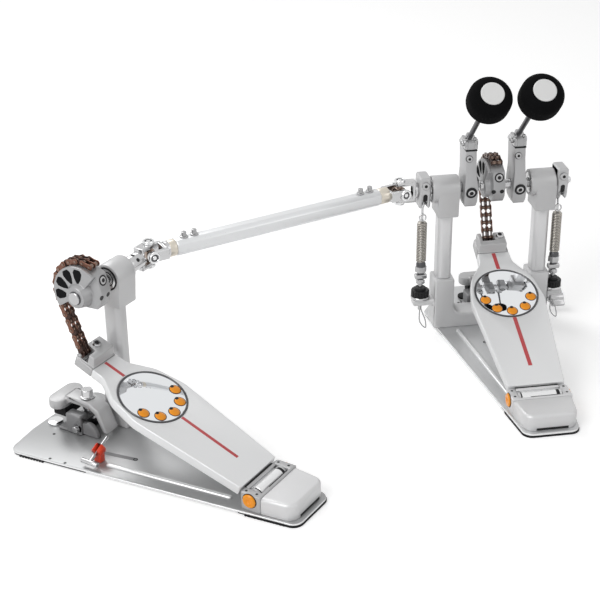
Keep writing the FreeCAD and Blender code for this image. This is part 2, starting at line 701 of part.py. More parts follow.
def make_frames():
    """Pedestal castings, posts, bearing housings and bearings of both pedals."""
    z0, bridge = "plate_top", "pedestal_bridge_z"
    out, into = "main_post_x + column_half", "main_post_x - column_half"
    casting = prism("main_casting", "XZ", [(f"-({out})", z0), (out, z0), (out, "main_column_z"),
                                           (into, "main_column_z"),
                    (into, bridge), (f"-({into})", bridge), (f"-({into})", "main_column_z"),
                    (f"-({out})", "main_column_z")], "pedestal_back_y", "pedestal_depth")
    rounded(casting, "main_casting_inside", "column_inner_radius",
            lambda e: runs_along(e, "Y") and at(e, "X", into) and at(e, "Z", bridge))
    rounded(casting, "main_casting_outside", "casting_edge_radius", lambda e: runs_along(e, "Z"))
    lugs, holes = [], []
    for side, x, wall in (("left", "left_spring_x", f"-({out})"), ("right", "right_spring_x", out)):
        tip = f"{x} - 10" if side == "left" else f"{x} + 10"
        span = (tip, f"{wall} + 2") if side == "left" else (f"{wall} - 2", tip)
        lugs.append(box(f"{side}_spring_lug", span, ("-lug_half_deep", "lug_half_deep"),
                        ("lug_z0", "lug_z1")))
        holes.append(rod(f"{side}_lug_hole", "spring_rod_radius + seat_gap", "Z", (x, "0", "lug_z0 - 1"),
                         "lug_z1 - lug_z0 + 2"))
        holes.append(rod(f"{side}_nut_recess", "nut_radius + nut_clearance", "Z", (x, "0", "lug_z1"),
                         "nut_z0 + nut_height + nut_clearance - lug_z1"))
    node("main_pedestal", [cut("main_pedestal_cut", fused("main_pedestal_solid", casting, *lugs), *holes)])
    node("main_posts", [make_post(f"main_{side}_post", x, "main_column_z")
                        for side, x in (("left", "-main_post_x"), ("right", "main_post_x"))])
    ends = [("main_left_barrel_x0", "main_left_barrel_x1"), ("main_right_barrel_x0", "main_right_barrel_x1")]
    node("main_bearing_housings", [make_housing("main_left_housing", "-main_post_x", *ends[0]),
                                   make_housing("main_right_housing", "main_post_x", *ends[1])])
    node("main_bearings", make_shaft_bearings("main_bearing", ends))

    left, right = "slave_post_x - column_half", "slave_post_x + column_half"
    casting = prism("slave_casting", "XZ", [(left, z0), (right, z0), (right, "slave_column_z"),
                    (left, "slave_column_z")], "pedestal_back_y", "pedestal_depth")
    rounded(casting, "slave_casting_outside", "casting_edge_radius", lambda e: runs_along(e, "Z"))
    node("slave_pedestal", [casting], SLAVE)
    node("slave_post", [make_post("slave_column_post", "slave_post_x", "slave_column_z")], SLAVE)
    ends = ("slave_barrel_x0", "slave_barrel_x1")
    node("slave_bearing_housing", [make_housing("slave_housing", "slave_post_x", *ends)], SLAVE)
    node("slave_bearings", make_shaft_bearings("slave_bearing", [ends]), SLAVE)


def make_cam(pedal, place):
    """Chain cam: a hub, a track for the chain, a cheek with petals and the block at the chain's end."""
    mid, hub_x0 = f"{pedal}_chain_x", f"{pedal}_cam_hub_x0"
    cheek_x0, cheek_x1, block_x1 = f"{mid} - cam_cheek_out", f"{mid} - cam_cheek_in", f"{mid} + cam_block_out"
    hub = rod(f"{pedal}_cam_hub", "cam_hub_radius", "X", (hub_x0, "0", "0"), f"{block_x1} - ({hub_x0})")
    sectors = []
    for name, radius, x0, x1 in (("track", "cam_track_radius", f"{cheek_x1} - seat_gap",
                                  f"{mid} + cam_track_half"),
                                 ("cheek", "cam_disc_radius", cheek_x0, cheek_x1)):
        part = doc.addObject("Part::Cylinder", f"{pedal}_cam_{name}")
        bind(part, Radius=radius, Height=f"({x1}) - ({x0})", Angle="cam_sweep_angle", Placement__Base__x=x0)
        # The cylinder's own X axis is turned to the sector's first edge in the Y-Z plane
        start = Rotation(AXES["X"], number("cam_start_angle"))
        part.Placement.Rotation = start.multiply(Rotation(AXES["Y"], AXES["Z"], AXES["X"], "ZXY"))
        sectors.append(part)
    block = prism(f"{pedal}_cam_block", "YZ", [("-cam_block_back", "cam_block_shoulder"),
                  ("-cam_block_back + cam_block_bevel", "cam_block_top - cam_block_shoulder"),
                  ("-cam_block_crown", "cam_block_top"), ("cam_block_lap", "cam_block_lap_z"),
                  ("-cam_block_toe", "cam_block_foot"), ("-cam_block_heel", "cam_block_foot"),
                  ("-cam_block_back + cam_block_lap", "-cam_block_shoulder")],
                  f"{mid} - cam_track_half", "cam_block_out + cam_track_half")
    solid = fused(f"{pedal}_cam_solid", hub, *sectors, block)
    tools = [rod(f"{pedal}_cam_bore", "shaft_radius + seat_gap", "X", (f"{hub_x0} - 1", "0", "0"),
                 f"{block_x1} - ({hub_x0}) + 2")]
    middle = "(cam_petal_inner + 3 * cam_petal_outer) / 4"
    shape = [("cam_petal_inner", "0"), (f"({middle} + cam_petal_inner) / 2", "cam_petal_half * 0.7"),
             (middle, "cam_petal_half"), ("cam_petal_outer", "cam_petal_tip")]
    ring = shape + [(reach, f"-({side})") for reach, side in reversed(shape[1:])]
    for i in range(int(number("cam_petal_count"))):
        turn = f"((cam_petal_first_angle + {i} * cam_petal_step_angle) * 1 deg)"
        points = [(f"({reach}) * cos{turn} - ({side}) * sin{turn}",
                   f"({reach}) * sin{turn} + ({side}) * cos{turn}")
                  for reach, side in ring]
        tools.append(prism(f"{pedal}_cam_petal_{i}", "YZ", points, f"{cheek_x0} - 1", "cam_petal_depth"))
    node(f"{pedal}_drive_cam", [cut(f"{pedal}_cam_cut", solid, *tools)], place.multiply(SHAFT))


def chain_points():
    """Pin centres of the chain in the Y-Z plane about the shaft: on the cam, then down to the toe."""
    radius, pitch = number("chain_circle"), number("chain_pitch")
    leave = math.radians(number("chain_leave_angle"))
    step = 2 * math.asin(pitch / 2 / radius)
    free = int(number("chain_free_links"))
    arc = [(radius * math.cos(leave + i * step), radius * math.sin(leave + i * step))
           for i in range(free + int(number("chain_wrap_links")) + 1)]
    down = (math.sin(leave), -math.cos(leave))
    drop = [(arc[0][0] + i * pitch * down[0], arc[0][1] + i * pitch * down[1])
            for i in range(1, int(number("chain_drop_links")) + 1)]
    return arc[free:], arc[free::-1] + drop


def eight_sided(radius, x0, x1, y, z):
    """An eight-sided bar along X."""
    corners = [Vector(x0, y + radius * math.cos(math.pi / 4 * i), z + radius * math.sin(math.pi / 4 * i))
               for i in range(8)]
    return Part.Face(Part.makePolygon(corners + corners[:1])).extrude(Vector(x1 - x0, 0, 0))


def link_plate(a, b, x0, x1, half):
    """A chain plate round two pin centres, with bevelled ends."""
    length = math.hypot(b[0] - a[0], b[1] - a[1])
    along = ((b[0] - a[0]) / length, (b[1] - a[1]) / length)
    up = (-along[1], along[0])
    ring = []
    far, bevel = length / half, number("link_bevel_share")
    for s, t in ((-1, -bevel), (-bevel, -1), (far + bevel, -1), (far + 1, -bevel),
                 (far + 1, bevel), (far + bevel, 1), (-bevel, 1), (-1, bevel)):
        y = a[0] + half * (s * along[0] + t * up[0])
        z = a[1] + half * (s * along[1] + t * up[1])
        ring.append(Vector(x0, y, z))
    return Part.Face(Part.makePolygon(ring + ring[:1])).extrude(Vector(x1 - x0, 0, 0))


def make_link(x, a, b, outer, last):
    """One chain link: an outer link is two plates on two pins, an inner link two bored plates."""
    inner, plate = number("link_inner_x"), number("link_plate")
    wide, gap = number("link_outer_x"), number("slide_gap")
    half = number("end_link_half_height" if last else "link_half_height")
    if outer:
        pieces = [link_plate(a, b, x - wide - plate, x - wide, half),
                  link_plate(a, b, x + wide, x + wide + plate, half)]
        for pin in (a, b):
            pieces.append(eight_sided(number("link_pin_radius"), x - wide, x + wide, *pin))
            pieces.append(eight_sided(number("link_roller_radius"), x - inner + gap, x + inner - gap, *pin))
        return [pieces[0].multiFuse(pieces[1:])]
    plates = [link_plate(a, b, x - inner - plate, x - inner, half),
              link_plate(a, b, x + inner, x + inner + plate, half)]
    far_hole = number("end_link_hole_radius" if last else "link_hole_radius")
    bars = [eight_sided(radius, x - wide, x + wide, *pin)
            for radius, pin in ((number("link_hole_radius"), a), (far_hole, b))]
    return [part.cut(bars[0]).cut(bars[1]) for part in plates]


def make_chain(pedal, place):
    """The chain in two lengths: one that lies on the cam and one that hangs to the footboard's toe."""
    wrap, drop = chain_points()
    for label, pins, first_outer in (("chain_on_cam", wrap, True), ("chain_drop", drop, False)):
        solids = []
        outer = first_outer
        for a, b in zip(pins, pins[1:]):
            last = label == "chain_drop" and b is pins[-1]
            solids += make_link(number(f"{pedal}_chain_x"), a, b, outer, last)
            outer = not outer
        node(f"{pedal}_{label}", [feature(f"{pedal}_{label}_links", Part.makeCompound(solids))],
             place.multiply(SHAFT))


def make_beater(side):
    """Beater hub on its shaft, the rod in the hub and the round head with its top cap."""
    x = f"{side}_hub_x"
    profile = [("-hub_foot_back", "hub_foot_z"), ("hub_foot_front", "hub_foot_z"), ("hub_waist_front", "0"),
               ("hub_chin_front", "hub_chin_z"), ("hub_chin_front / 2", "hub_top_z"),
               ("-hub_neck_back * 0.6", "hub_top_z - hub_crown_drop"), ("-hub_neck_back", "hub_neck_z"),
               ("-hub_waist_back", "0")]
    body = prism(f"{side}_hub", "YZ", profile, f"{x} - hub_half", "2 * hub_half")
    rounded(body, f"{side}_hub_edges", "hub_edge_radius", lambda e: runs_along(e, "X"))
    bore = rod(f"{side}_hub_bore", "shaft_radius + seat_gap", "X", (f"{x} - hub_half - 1", "0", "0"),
               "2 * hub_half + 2")
    socket = doc.addObject("Part::Cylinder", f"{side}_rod_hole")
    bind(socket, Radius="beater_rod_radius + running_gap", Height="2 * beater_socket_half",
         Placement__Base__x=x,
         Placement__Base__y="beater_socket_y + beater_socket_half * sin(1 deg * beater_lean_angle)",
         Placement__Base__z="beater_socket_z - beater_socket_half * cos(1 deg * beater_lean_angle)")
    lean = Rotation(AXES["X"], number("beater_lean_angle"))
    socket.Placement.Rotation = lean
    node(f"{side}_beater_hub", [cut(f"{side}_hub_bored", body, bore, socket)], SHAFT)

    root = Placement(Vector(number(x), number("beater_socket_y"), number("beater_socket_z")), lean)
    stick = rod(f"{side}_stick", "beater_rod_radius", "Z", ("0", "0", "-beater_rod_below"),
                "beater_rod_below + beater_reach")
    node(f"{side}_beater_rod", [stick], SHAFT.multiply(root))
    bottom = "beater_reach - beater_head_height / 2"
    lump = rod(f"{side}_head_block", "beater_head_radius", "Z", ("0", "0", bottom), "beater_head_height")
    doc.recompute()
    soft = doc.addObject("Part::Fillet", f"{side}_head_round")
    soft.Base = lump
    edge = number("beater_head_edge")
    soft.Edges = [(i, edge, edge) for i, e in enumerate(lump.Shape.Edges, 1)
                  if e.Curve.TypeId == "Part::GeomCircle"]
    hole = rod(f"{side}_head_hole", "beater_rod_radius + seat_gap", "Z", ("0", "0", f"{bottom} - 1"),
               "beater_head_height / 2 + 1 + seat_gap")
    felt = cut(f"{side}_head_bored", soft, hole)
    cap = rod(f"{side}_head_cap", "beater_cap_radius", "Z", ("0", "0", f"{bottom} + beater_head_height"),
              "beater_cap_height")
    node(f"{side}_beater_head", [felt, cap], SHAFT.multiply(root))


def make_coil(x):
    """Path and tube of one return spring, wound from quarter turns, with straight ends."""
    radius, wire = number("spring_mean_radius"), number("spring_wire_radius")
    z0, z1 = number("spring_bottom_z"), number("spring_top_z")
    turns = int((z1 - z0) / number("spring_pitch"))

    def spot(turn):
        angle = 2 * math.pi * turn
        return Vector(x + radius * math.cos(angle), radius * math.sin(angle), z0 + (z1 - z0) * turn / turns)
    edges = [Part.Arc(spot(i / 4), spot(i / 4 + 0.125), spot(i / 4 + 0.25)).toShape() for i in range(4 * turns)]
    first, last = edges[0], edges[-1]
    start, finish = first.tangentAt(first.FirstParameter), last.tangentAt(last.LastParameter)
    lead = Part.LineSegment(spot(0) - start * 2 * wire, spot(0)).toShape()
    tail = Part.LineSegment(spot(turns), spot(turns) + finish * 2 * wire).toShape()
    path = Part.Wire([lead] + edges + [tail])
    ring = Part.Wire(Part.makeCircle(wire, spot(0) - start * 2 * wire, start))
    gap = (z1 - z0) / turns - 2 * wire
    print(f"spring at x {x:.1f}: {turns} turns, least gap between turns {gap:.2f} mm")
    return path.makePipeShell([ring], True, False)


def make_springs():
    """Return springs with their hooks, the rockers that pull them, and the tension rods and nuts below."""
    rods = []
    for side in ("left", "right"):
        x = f"{side}_spring_x"
        profile = [("-rocker_waist_half + 1", "rocker_top_z"), ("rocker_waist_half - 1", "rocker_top_z"),
                   ("rocker_waist_half", "0"), ("rocker_foot_half", "rocker_foot_z"),
                   ("-rocker_foot_half", "rocker_foot_z"), ("-rocker_waist_half", "0")]
        body = prism(f"{side}_rocker_body", "YZ", profile, f"{x} - rocker_half", "2 * rocker_half")
        rounded(body, f"{side}_rocker_edges", "rocker_edge_radius", lambda e: runs_along(e, "X"))
        bore = rod(f"{side}_rocker_bore", "shaft_radius + seat_gap", "X",
                   (f"{x} - rocker_half - 1", "0", "0"),
                   "2 * rocker_half + 2")
        slot = box(f"{side}_rocker_slot", (f"{x} - rocker_slot_half", f"{x} + rocker_slot_half"),
                   ("-rocker_waist_half - 1", "rocker_waist_half + 1"),
                   ("rocker_foot_z - 1", "rocker_slot_z"))
        pin = rod(f"{side}_rocker_pin", "rocker_pin_radius", "X",
                  (f"{x} - rocker_half", "0", "-rocker_pin_drop"),
                  "2 * rocker_half")
        node(f"{side}_spring_rocker", [fused(f"{side}_rocker_pinned",
                                             cut(f"{side}_rocker_cut", body, bore, slot), pin)],
             SHAFT)
        eye = number("shaft_height - rocker_pin_drop")
        ring_r, wire = number("hook_ring_radius"), number("hook_wire_radius")
        ring = Part.makeTorus(ring_r, wire, Vector(number(x), 0, eye), AXES["X"])
        cup_z = number("spring_top_z + spring_wire_radius")
        stem = Part.makeCylinder(wire, eye - ring_r - cup_z, Vector(number(x), 0, cup_z))
        cup = Part.makeCylinder(number("spring_mean_radius + spring_wire_radius"),
                                number("spring_cup_height"),
                                Vector(number(x), 0, cup_z))
        hook = ring.multiFuse([stem, cup])
        node(f"{side}_spring", [feature(f"{side}_coil", make_coil(number(x))), feature(f"{side}_hook", hook)])
        seat_top = "spring_bottom_z - spring_wire_radius"
        shank = rod(f"{side}_tension_shank", "spring_rod_radius", "Z", (x, "0", "spring_rod_bottom_z"),
                    f"{seat_top} - spring_rod_bottom_z")
        seat = rod(f"{side}_spring_seat", "spring_seat_radius", "Z",
                   (x, "0", f"{seat_top} - spring_seat_height"),
                   "spring_seat_height")
        rods.append(fused(f"{side}_tension_rod", shank, seat))
        disc = rod(f"{side}_nut_disc", "nut_radius", "Z", (x, "0", "nut_z0"), "nut_height")
        hole = rod(f"{side}_nut_hole", "spring_rod_radius + running_gap", "Z", (x, "0", "nut_z0 - 1"),
                   "nut_height + 2")
        node(f"{side}_tension_nut", [cut(f"{side}_nut", disc, hole)])
    node("main_spring_rods", rods)


def joint_frame(centre, axis, pin):
    """A placement whose Z runs along a shaft towards the joint centre and whose X is the yoke's pin line."""
    return Placement(centre, Rotation(pin, axis.cross(pin), axis, "ZXY"))


def make_yoke(name, pin_gap, bore, hub_length):
    """A fork about the joint centre: two bored arms on a hub behind, along the local Z axis."""
    web_z = "-yoke_back - yoke_web"
    hub = rod(f"{name}_hub", "yoke_hub_radius", "Z", ("0", "0", f"{web_z} - {hub_length}"),
              f"{hub_length} + 1")
    web = box(f"{name}_web", ("-yoke_arm_outer", "yoke_arm_outer"), ("-yoke_arm_half", "yoke_arm_half"),
              (web_z, "-yoke_back"))
    pieces = [hub, web]
    for side, x in (("near", "-yoke_arm_outer"), ("far", "yoke_arm_inner")):
        wall = "yoke_arm_outer - yoke_arm_inner"
        pieces.append(box(f"{name}_{side}_arm", (x, f"({x}) + {wall}"), ("-yoke_arm_half", "yoke_arm_half"),
                          (web_z, "0")))
        pieces.append(rod(f"{name}_{side}_eye", "yoke_arm_half", "X", (x, "0", "0"), wall))
    tools = [rod(f"{name}_pin_hole", f"cross_pin_radius + {pin_gap}", "X", ("-20", "0", "0"), "40")]
    if bore:
        tools.append(rod(f"{name}_shaft_hole", bore, "Z", ("0", "0", "-60"), "60 - yoke_back + 1"))
    return cut(name, fused(f"{name}_solid", *pieces), *tools)


def make_cross(name):
    """The spider of a universal joint: a block with four pins, in the local X-Y plane."""
    core = box(f"{name}_core", ("-cross_half", "cross_half"), ("-cross_half", "cross_half"),
               ("-cross_half", "cross_half"))
    pins = [rod(f"{name}_pin_{a}", "cross_pin_radius", a, tuple("-yoke_arm_outer" if b == a else "0" for b in "XYZ"),
                "2 * yoke_arm_outer") for a in "XY"]
    return fused(name, core, *pins)


def make_link_shaft():
    """Telescopic link between the pedals, its two universal joints and the shafts that they drive."""
    height = number("shaft_height")
    main_end = Vector(number("main_joint_x"), 0, height)
    slave_end = SLAVE.multVec(Vector(number("slave_joint_x"), 0, height))
    along = (main_end - slave_end).normalize()
    span = (main_end - slave_end).Length
    up = AXES["Z"]
    reach = "(yoke_back + yoke_web)"

    bar = rod("left_axle", "shaft_radius", "X", (f"main_joint_x + {reach}", "0", "shaft_height"),
              f"left_shaft_x1 - main_joint_x - {reach}")
    yoke = make_yoke("left_yoke", "cross_open_gap", "shaft_radius + seat_gap", "left_yoke_hub_length")
    yoke.Placement = joint_frame(main_end, AXES["X"] * -1, up)
    node("left_shaft", [bar, yoke])
    bar = rod("slave_axle", "shaft_radius", "X", ("slave_shaft_x0", "0", "shaft_height"),
              f"slave_joint_x - {reach} - slave_shaft_x0")
    yoke = make_yoke("slave_yoke", "cross_open_gap", "shaft_radius + seat_gap", "slave_yoke_hub_length")
    yoke.Placement = joint_frame(Vector(number("slave_joint_x"), 0, height), AXES["X"], up)
    node("slave_shaft", [bar, yoke], SLAVE)
    node("main_shaft", [rod("main_axle", "shaft_radius", "X", ("main_shaft_x0", "0", "shaft_height"),
                            "main_shaft_x1 - main_shaft_x0")])
    for name, centre in (("main_joint_cross", main_end), ("slave_joint_cross", slave_end)):
        node(name, [make_cross(name + "_spider")], joint_frame(centre, along, up))

    # The link's own frame starts at the second pedal's joint, with Z along the link and X up
    frame = joint_frame(slave_end, along, up)
    start = number("yoke_back + yoke_web + link_yoke_hub_length")
    ends = (("slave", 0, -1, start, number("tube_start + link_rod_overlap")),
            ("main", span, 1, number("tube_end - link_rod_overlap"), span - start))
    for end, centre, sign, z0, z1 in ends:
        yoke = make_yoke(f"link_{end}_yoke", "running_gap", None, "link_yoke_hub_length")
        yoke.Placement = joint_frame(Vector(0, 0, centre), AXES["Z"] * sign, AXES["Y"])
        bar = doc.addObject("Part::Cylinder", f"link_{end}_bar")
        bind(bar, Radius="link_rod_radius")
        bar.Height = z1 - z0
        bar.Placement.Base = Vector(0, 0, z0)
        node(f"link_{end}_rod", [bar, yoke], frame)

    flat, bevel = "tube_flat_half", "tube_chamfer"
    ring = [(flat, f"-({flat} - {bevel})"), (flat, f"{flat} - {bevel}"), (f"{flat} - {bevel}", flat),
            (f"-({flat} - {bevel})", flat), (f"-{flat}", f"{flat} - {bevel}"),
            (f"-{flat}", f"-({flat} - {bevel})"),
            (f"-({flat} - {bevel})", f"-{flat}"), (f"{flat} - {bevel}", f"-{flat}")]
    tube = prism("link_tube_body", "XY", ring, "tube_start", "tube_end - tube_start")
    bore = rod("link_tube_bore", "tube_bore_radius", "Z", ("0", "0", "tube_start - 1"),
               "tube_end - tube_start + 2")
    node("link_tube", [cut("link_tube_bored", tube, bore)], frame)
    bolts = []
    for end, first, sign in (("near", "tube_start + lock_bolt_inset", 1),
                             ("far", "tube_end - lock_bolt_inset", -1)):
        for i in range(2):
            z = f"{first} + ({sign * i}) * lock_bolt_spacing"
            shank = rod(f"{end}_lock_shank_{i}", "lock_bolt_radius", "X", (flat, "0", z), "lock_bolt_head")
            collar = rod(f"{end}_lock_collar_{i}", "lock_bolt_radius * 1.6", "X", (flat, "0", z), "2")
            bolts.append(fused(f"{end}_lock_bolt_{i}", shank, collar))
    node("link_lock_bolts", bolts, frame)


def make_clamp(pedal, place):
    """Hoop clamp at the front of a base plate: base with two cheeks, rocking jaw, bolt and wing screw."""
    mid = f"{pedal}_clamp_x"
    left, right = f"{mid} - clamp_half", f"{mid} + clamp_half"
    floor = box(f"{pedal}_clamp_floor", (left, right), ("clamp_back_y", "clamp_front_y"),
                ("plate_top", "clamp_floor_z"))
    pieces = [floor]
    for side, x0, x1 in (("left", left, f"{mid} - clamp_channel_half"),
                         ("right", f"{mid} + clamp_channel_half", right)):
        pieces.append(box(f"{pedal}_clamp_{side}_cheek", (x0, x1), ("clamp_back_y", "clamp_cheek_front_y"),
                          ("plate_top", "clamp_z")))
    bridge_end = "clamp_bolt_y + 2 * clamp_bolt_radius"
    pieces.append(box(f"{pedal}_clamp_bridge", (left, right), ("clamp_back_y", bridge_end),
                      ("clamp_bridge_z0", "clamp_bridge_z1")))
    if pedal == "slave":
        steps = 8
        rim = [(f"arch_y + arch_half * cos({180 * i / steps} deg)",
                f"plate_top + arch_height * sin({180 * i / steps} deg)")
               for i in range(steps + 1)]
        pieces.append(prism(f"{pedal}_clamp_arch", "YZ", rim, f"{mid} + arch_x", "arch_width"))
    hole = rod(f"{pedal}_screw_hole", "clamp_screw_radius + running_gap", "X",
               (f"{left} - 1", "clamp_screw_y", "clamp_screw_z"), "2 * clamp_half + 2")
    foot = rod(f"{pedal}_clamp_foot", "clamp_foot_radius", "Z",
               (f"{mid} + clamp_foot_x", "clamp_foot_y", "plate_top"),
               "clamp_foot_height")
    base = cut(f"{pedal}_clamp_cut", fused(f"{pedal}_clamp_solid", *pieces), hole)
    node(f"{pedal}_clamp_base", [base, foot], place)

    top, under = "lever_z1", "lever_z0"
    arm = [("lever_front_y", under), ("lever_front_y", top)]
    if pedal == "slave":
        arm += [("arm_knee_y", top), ("arm_bend_y", "arm_bend_z"), ("arm_tail_y", "arm_tail_z"),
                ("arm_tail_y + arm_thickness", "arm_tail_z"), ("arm_bend_y + arm_thickness * 0.8",
                                                               "arm_bend_z - arm_thickness"),
                ("arm_knee_y", under)]
    else:
        arm += [("clamp_back_y", top), ("clamp_back_y", under)]
    stem = prism(f"{pedal}_lever_stem", "YZ", arm, f"{mid} - lever_half", "2 * lever_half")
    deep = "(jaw_front_y - jaw_back_y) / 2"
    ends = (f"{mid} - (jaw_half - {deep})", f"{mid} + jaw_half - {deep}")
    bar = box(f"{pedal}_jaw_bar", ends, ("jaw_back_y", "jaw_front_y"), ("jaw_z0", "jaw_z1"))
    rounds = [rod(f"{pedal}_jaw_{side}", deep, "Z", (x, f"jaw_back_y + {deep}", "jaw_z0"), "jaw_z1 - jaw_z0")
              for side, x in zip(("left", "right"), ends)]
    bolt_way = rod(f"{pedal}_lever_hole", "clamp_bolt_radius + 1", "Z", (mid, "clamp_bolt_y", f"{under} - 1"),
                   f"{top} - {under} + 2")
    lever = cut(f"{pedal}_lever_cut", fused(f"{pedal}_lever_solid", stem, bar, *rounds), bolt_way)
    pad = box(f"{pedal}_jaw_pad", ends, ("jaw_back_y + 2", "jaw_front_y - 2"),
              ("jaw_z0 - jaw_pad_thickness", "jaw_z0"))
    node(f"{pedal}_clamp_jaw", [lever, pad], place)

    seat = "lever_z1 + clamp_sleeve_gap"
    shank = rod(f"{pedal}_clamp_shank", "clamp_bolt_radius", "Z", (mid, "clamp_bolt_y", "clamp_bridge_z1"),
                f"{seat} - clamp_bridge_z1 + 2")
    sleeve = rod(f"{pedal}_clamp_sleeve", "clamp_sleeve_radius", "Z",
                 (mid, "clamp_bolt_y", "clamp_bridge_z1"),
                 "lever_z0 - clamp_sleeve_gap - clamp_bridge_z1")
    washer = rod(f"{pedal}_clamp_washer", "clamp_bolt_head + 1.5", "Z", (mid, "clamp_bolt_y", seat), "1.4")
    head = doc.addObject("Part::Prism", f"{pedal}_clamp_head")
    head.Polygon = 6
    bind(head, Circumradius="clamp_bolt_head", Height="clamp_bolt_height", Placement__Base__x=mid,
         Placement__Base__y="clamp_bolt_y", Placement__Base__z=f"{seat} + 1.4")
    node(f"{pedal}_clamp_bolt", [fused(f"{pedal}_clamp_bolt_solid", shank, sleeve, washer, head)], place)

    centre = ("0", "0")
    x0, x1 = f"{mid} + clamp_screw_x0", f"{pedal}_screw_x1"
    bar = rod(f"{pedal}_screw_bar", "clamp_screw_radius", "X", (x0, *centre), f"{x1} - ({x0})")
    boss = rod(f"{pedal}_screw_boss", "clamp_screw_radius + 2", "X", (f"{x1} - wing_length", *centre),
               "wing_length")
    wing = box(f"{pedal}_screw_wing", (f"{x1} - wing_length + 2", x1), ("-wing_reach", "wing_reach"),
               ("-wing_half_thick", "wing_half_thick"))
    turn = Placement(Vector(0, number("clamp_screw_y"), number("clamp_screw_z")),
                     Rotation(AXES["X"], number("wing_angle")))
    node(f"{pedal}_clamp_screw", [fused(f"{pedal}_screw_solid", bar, boss, wing)], place.multiply(turn))


def make_key():
    """Tuning key that rests in an open clip on the second pedal's base plate, with one end raised."""
    tilt = Placement(Vector(number("key_x"), number("key_y"), number("key_z")),
                     Rotation(AXES["Y"], -number("key_rise_angle")))
    post = box("clip_post", ("key_x - clip_foot_half", "key_x + clip_foot_half"),
               ("key_y - clip_half", "key_y + clip_half"), ("plate_top", "key_z - clip_radius / 2"))
    jaw = rod("clip_jaw", "clip_radius", "X", ("-clip_half", "0", "0"), "2 * clip_half")
    way = rod("clip_way", "key_radius + running_gap", "X", ("-3 * clip_half", "0", "0"), "6 * clip_half")
    mouth = box("clip_mouth", ("-3 * clip_half", "3 * clip_half"),
                ("-key_radius - running_gap", "key_radius + running_gap"),
                ("0", "2 * clip_radius"))
    raised = []
    for name, pieces in (("clip_ring", [jaw]), ("clip_slot", [fused("clip_slot_solid", way, mouth)])):
        group = doc.addObject("Part::Compound", name)
        group.Links = pieces
        group.Placement = tilt
        raised.append(group)
    node("slave_key_clip", [cut("clip_cut", fused("clip_solid", post, raised[0]), raised[1])], SLAVE)
    bar = rod("key_bar", "key_radius", "X", ("-key_length / 2", "0", "0"), "key_length")
    grip = rod("key_grip", "key_grip_radius", "Y", ("-key_length / 2", "-key_grip_half", "0"),
               "2 * key_grip_half")
    node("slave_tuning_key", [fused("key_solid", bar, grip)], SLAVE.multiply(tilt))


def check_and_write():
    doc.recompute()
    failed = [o.Name for o in doc.Objects if {"Invalid", "Error"} & set(o.State)]
    if failed:
        raise RuntimeError(f"not computed: {failed}")
    for label, obj in nodes.items():
        if obj.Shape.isNull() or not obj.Shape.isValid() or not obj.Shape.Solids:
            raise RuntimeError(f"{label} has no valid solid")
    os.makedirs("parts", exist_ok=True)
    for label, obj in nodes.items():
        obj.Shape.exportStep(f"parts/{label}.step")
    print(f"{len(nodes)} sub-parts, {sum(len(o.Shape.Solids) for o in nodes.values())} solids")


def main():
    for pedal, place in PEDALS.items():
        make_base(pedal, place)
        make_heel(pedal, place)
        make_footboard(pedal, place)
        make_cam(pedal, place)
        make_chain(pedal, place)
        make_clamp(pedal, place)
    make_frames()
    for side in ("left", "right"):
        make_beater(side)
    make_springs()
    make_link_shaft()
    make_key()
    check_and_write()


main()
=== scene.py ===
"""Looks of a double bass drum pedal: each sub-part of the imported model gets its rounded, finished piece."""
import json
import math

import bmesh
import bpy
from mathutils import Matrix, Vector

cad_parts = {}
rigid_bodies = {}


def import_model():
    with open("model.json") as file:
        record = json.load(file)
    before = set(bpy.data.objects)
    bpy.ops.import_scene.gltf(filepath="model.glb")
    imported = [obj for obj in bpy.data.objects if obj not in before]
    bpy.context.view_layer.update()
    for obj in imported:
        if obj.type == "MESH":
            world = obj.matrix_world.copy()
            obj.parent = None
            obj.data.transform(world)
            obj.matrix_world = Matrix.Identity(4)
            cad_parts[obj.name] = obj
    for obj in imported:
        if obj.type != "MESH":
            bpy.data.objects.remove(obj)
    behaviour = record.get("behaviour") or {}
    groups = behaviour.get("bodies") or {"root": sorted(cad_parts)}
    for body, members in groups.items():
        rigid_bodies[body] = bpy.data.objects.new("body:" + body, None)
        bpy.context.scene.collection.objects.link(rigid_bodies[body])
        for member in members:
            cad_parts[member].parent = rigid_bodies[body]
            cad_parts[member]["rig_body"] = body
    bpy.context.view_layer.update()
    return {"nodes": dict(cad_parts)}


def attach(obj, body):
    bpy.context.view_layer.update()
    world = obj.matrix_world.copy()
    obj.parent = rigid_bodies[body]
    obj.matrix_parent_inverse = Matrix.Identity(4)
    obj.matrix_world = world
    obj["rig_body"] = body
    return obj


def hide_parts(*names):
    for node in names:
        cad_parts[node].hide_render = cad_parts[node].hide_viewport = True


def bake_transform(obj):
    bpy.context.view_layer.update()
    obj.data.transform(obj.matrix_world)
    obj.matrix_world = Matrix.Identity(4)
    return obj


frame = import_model()

bl_info = {
    "name": "Double Pedal Dresser",
    "version": (1, 0, 0),
    "blender": (4, 5, 0),
    "location": "View3D > Sidebar > Pedal",
    "description": "Builds the visible pieces of a double bass drum pedal over its packed model",
    "category": "Object",
}

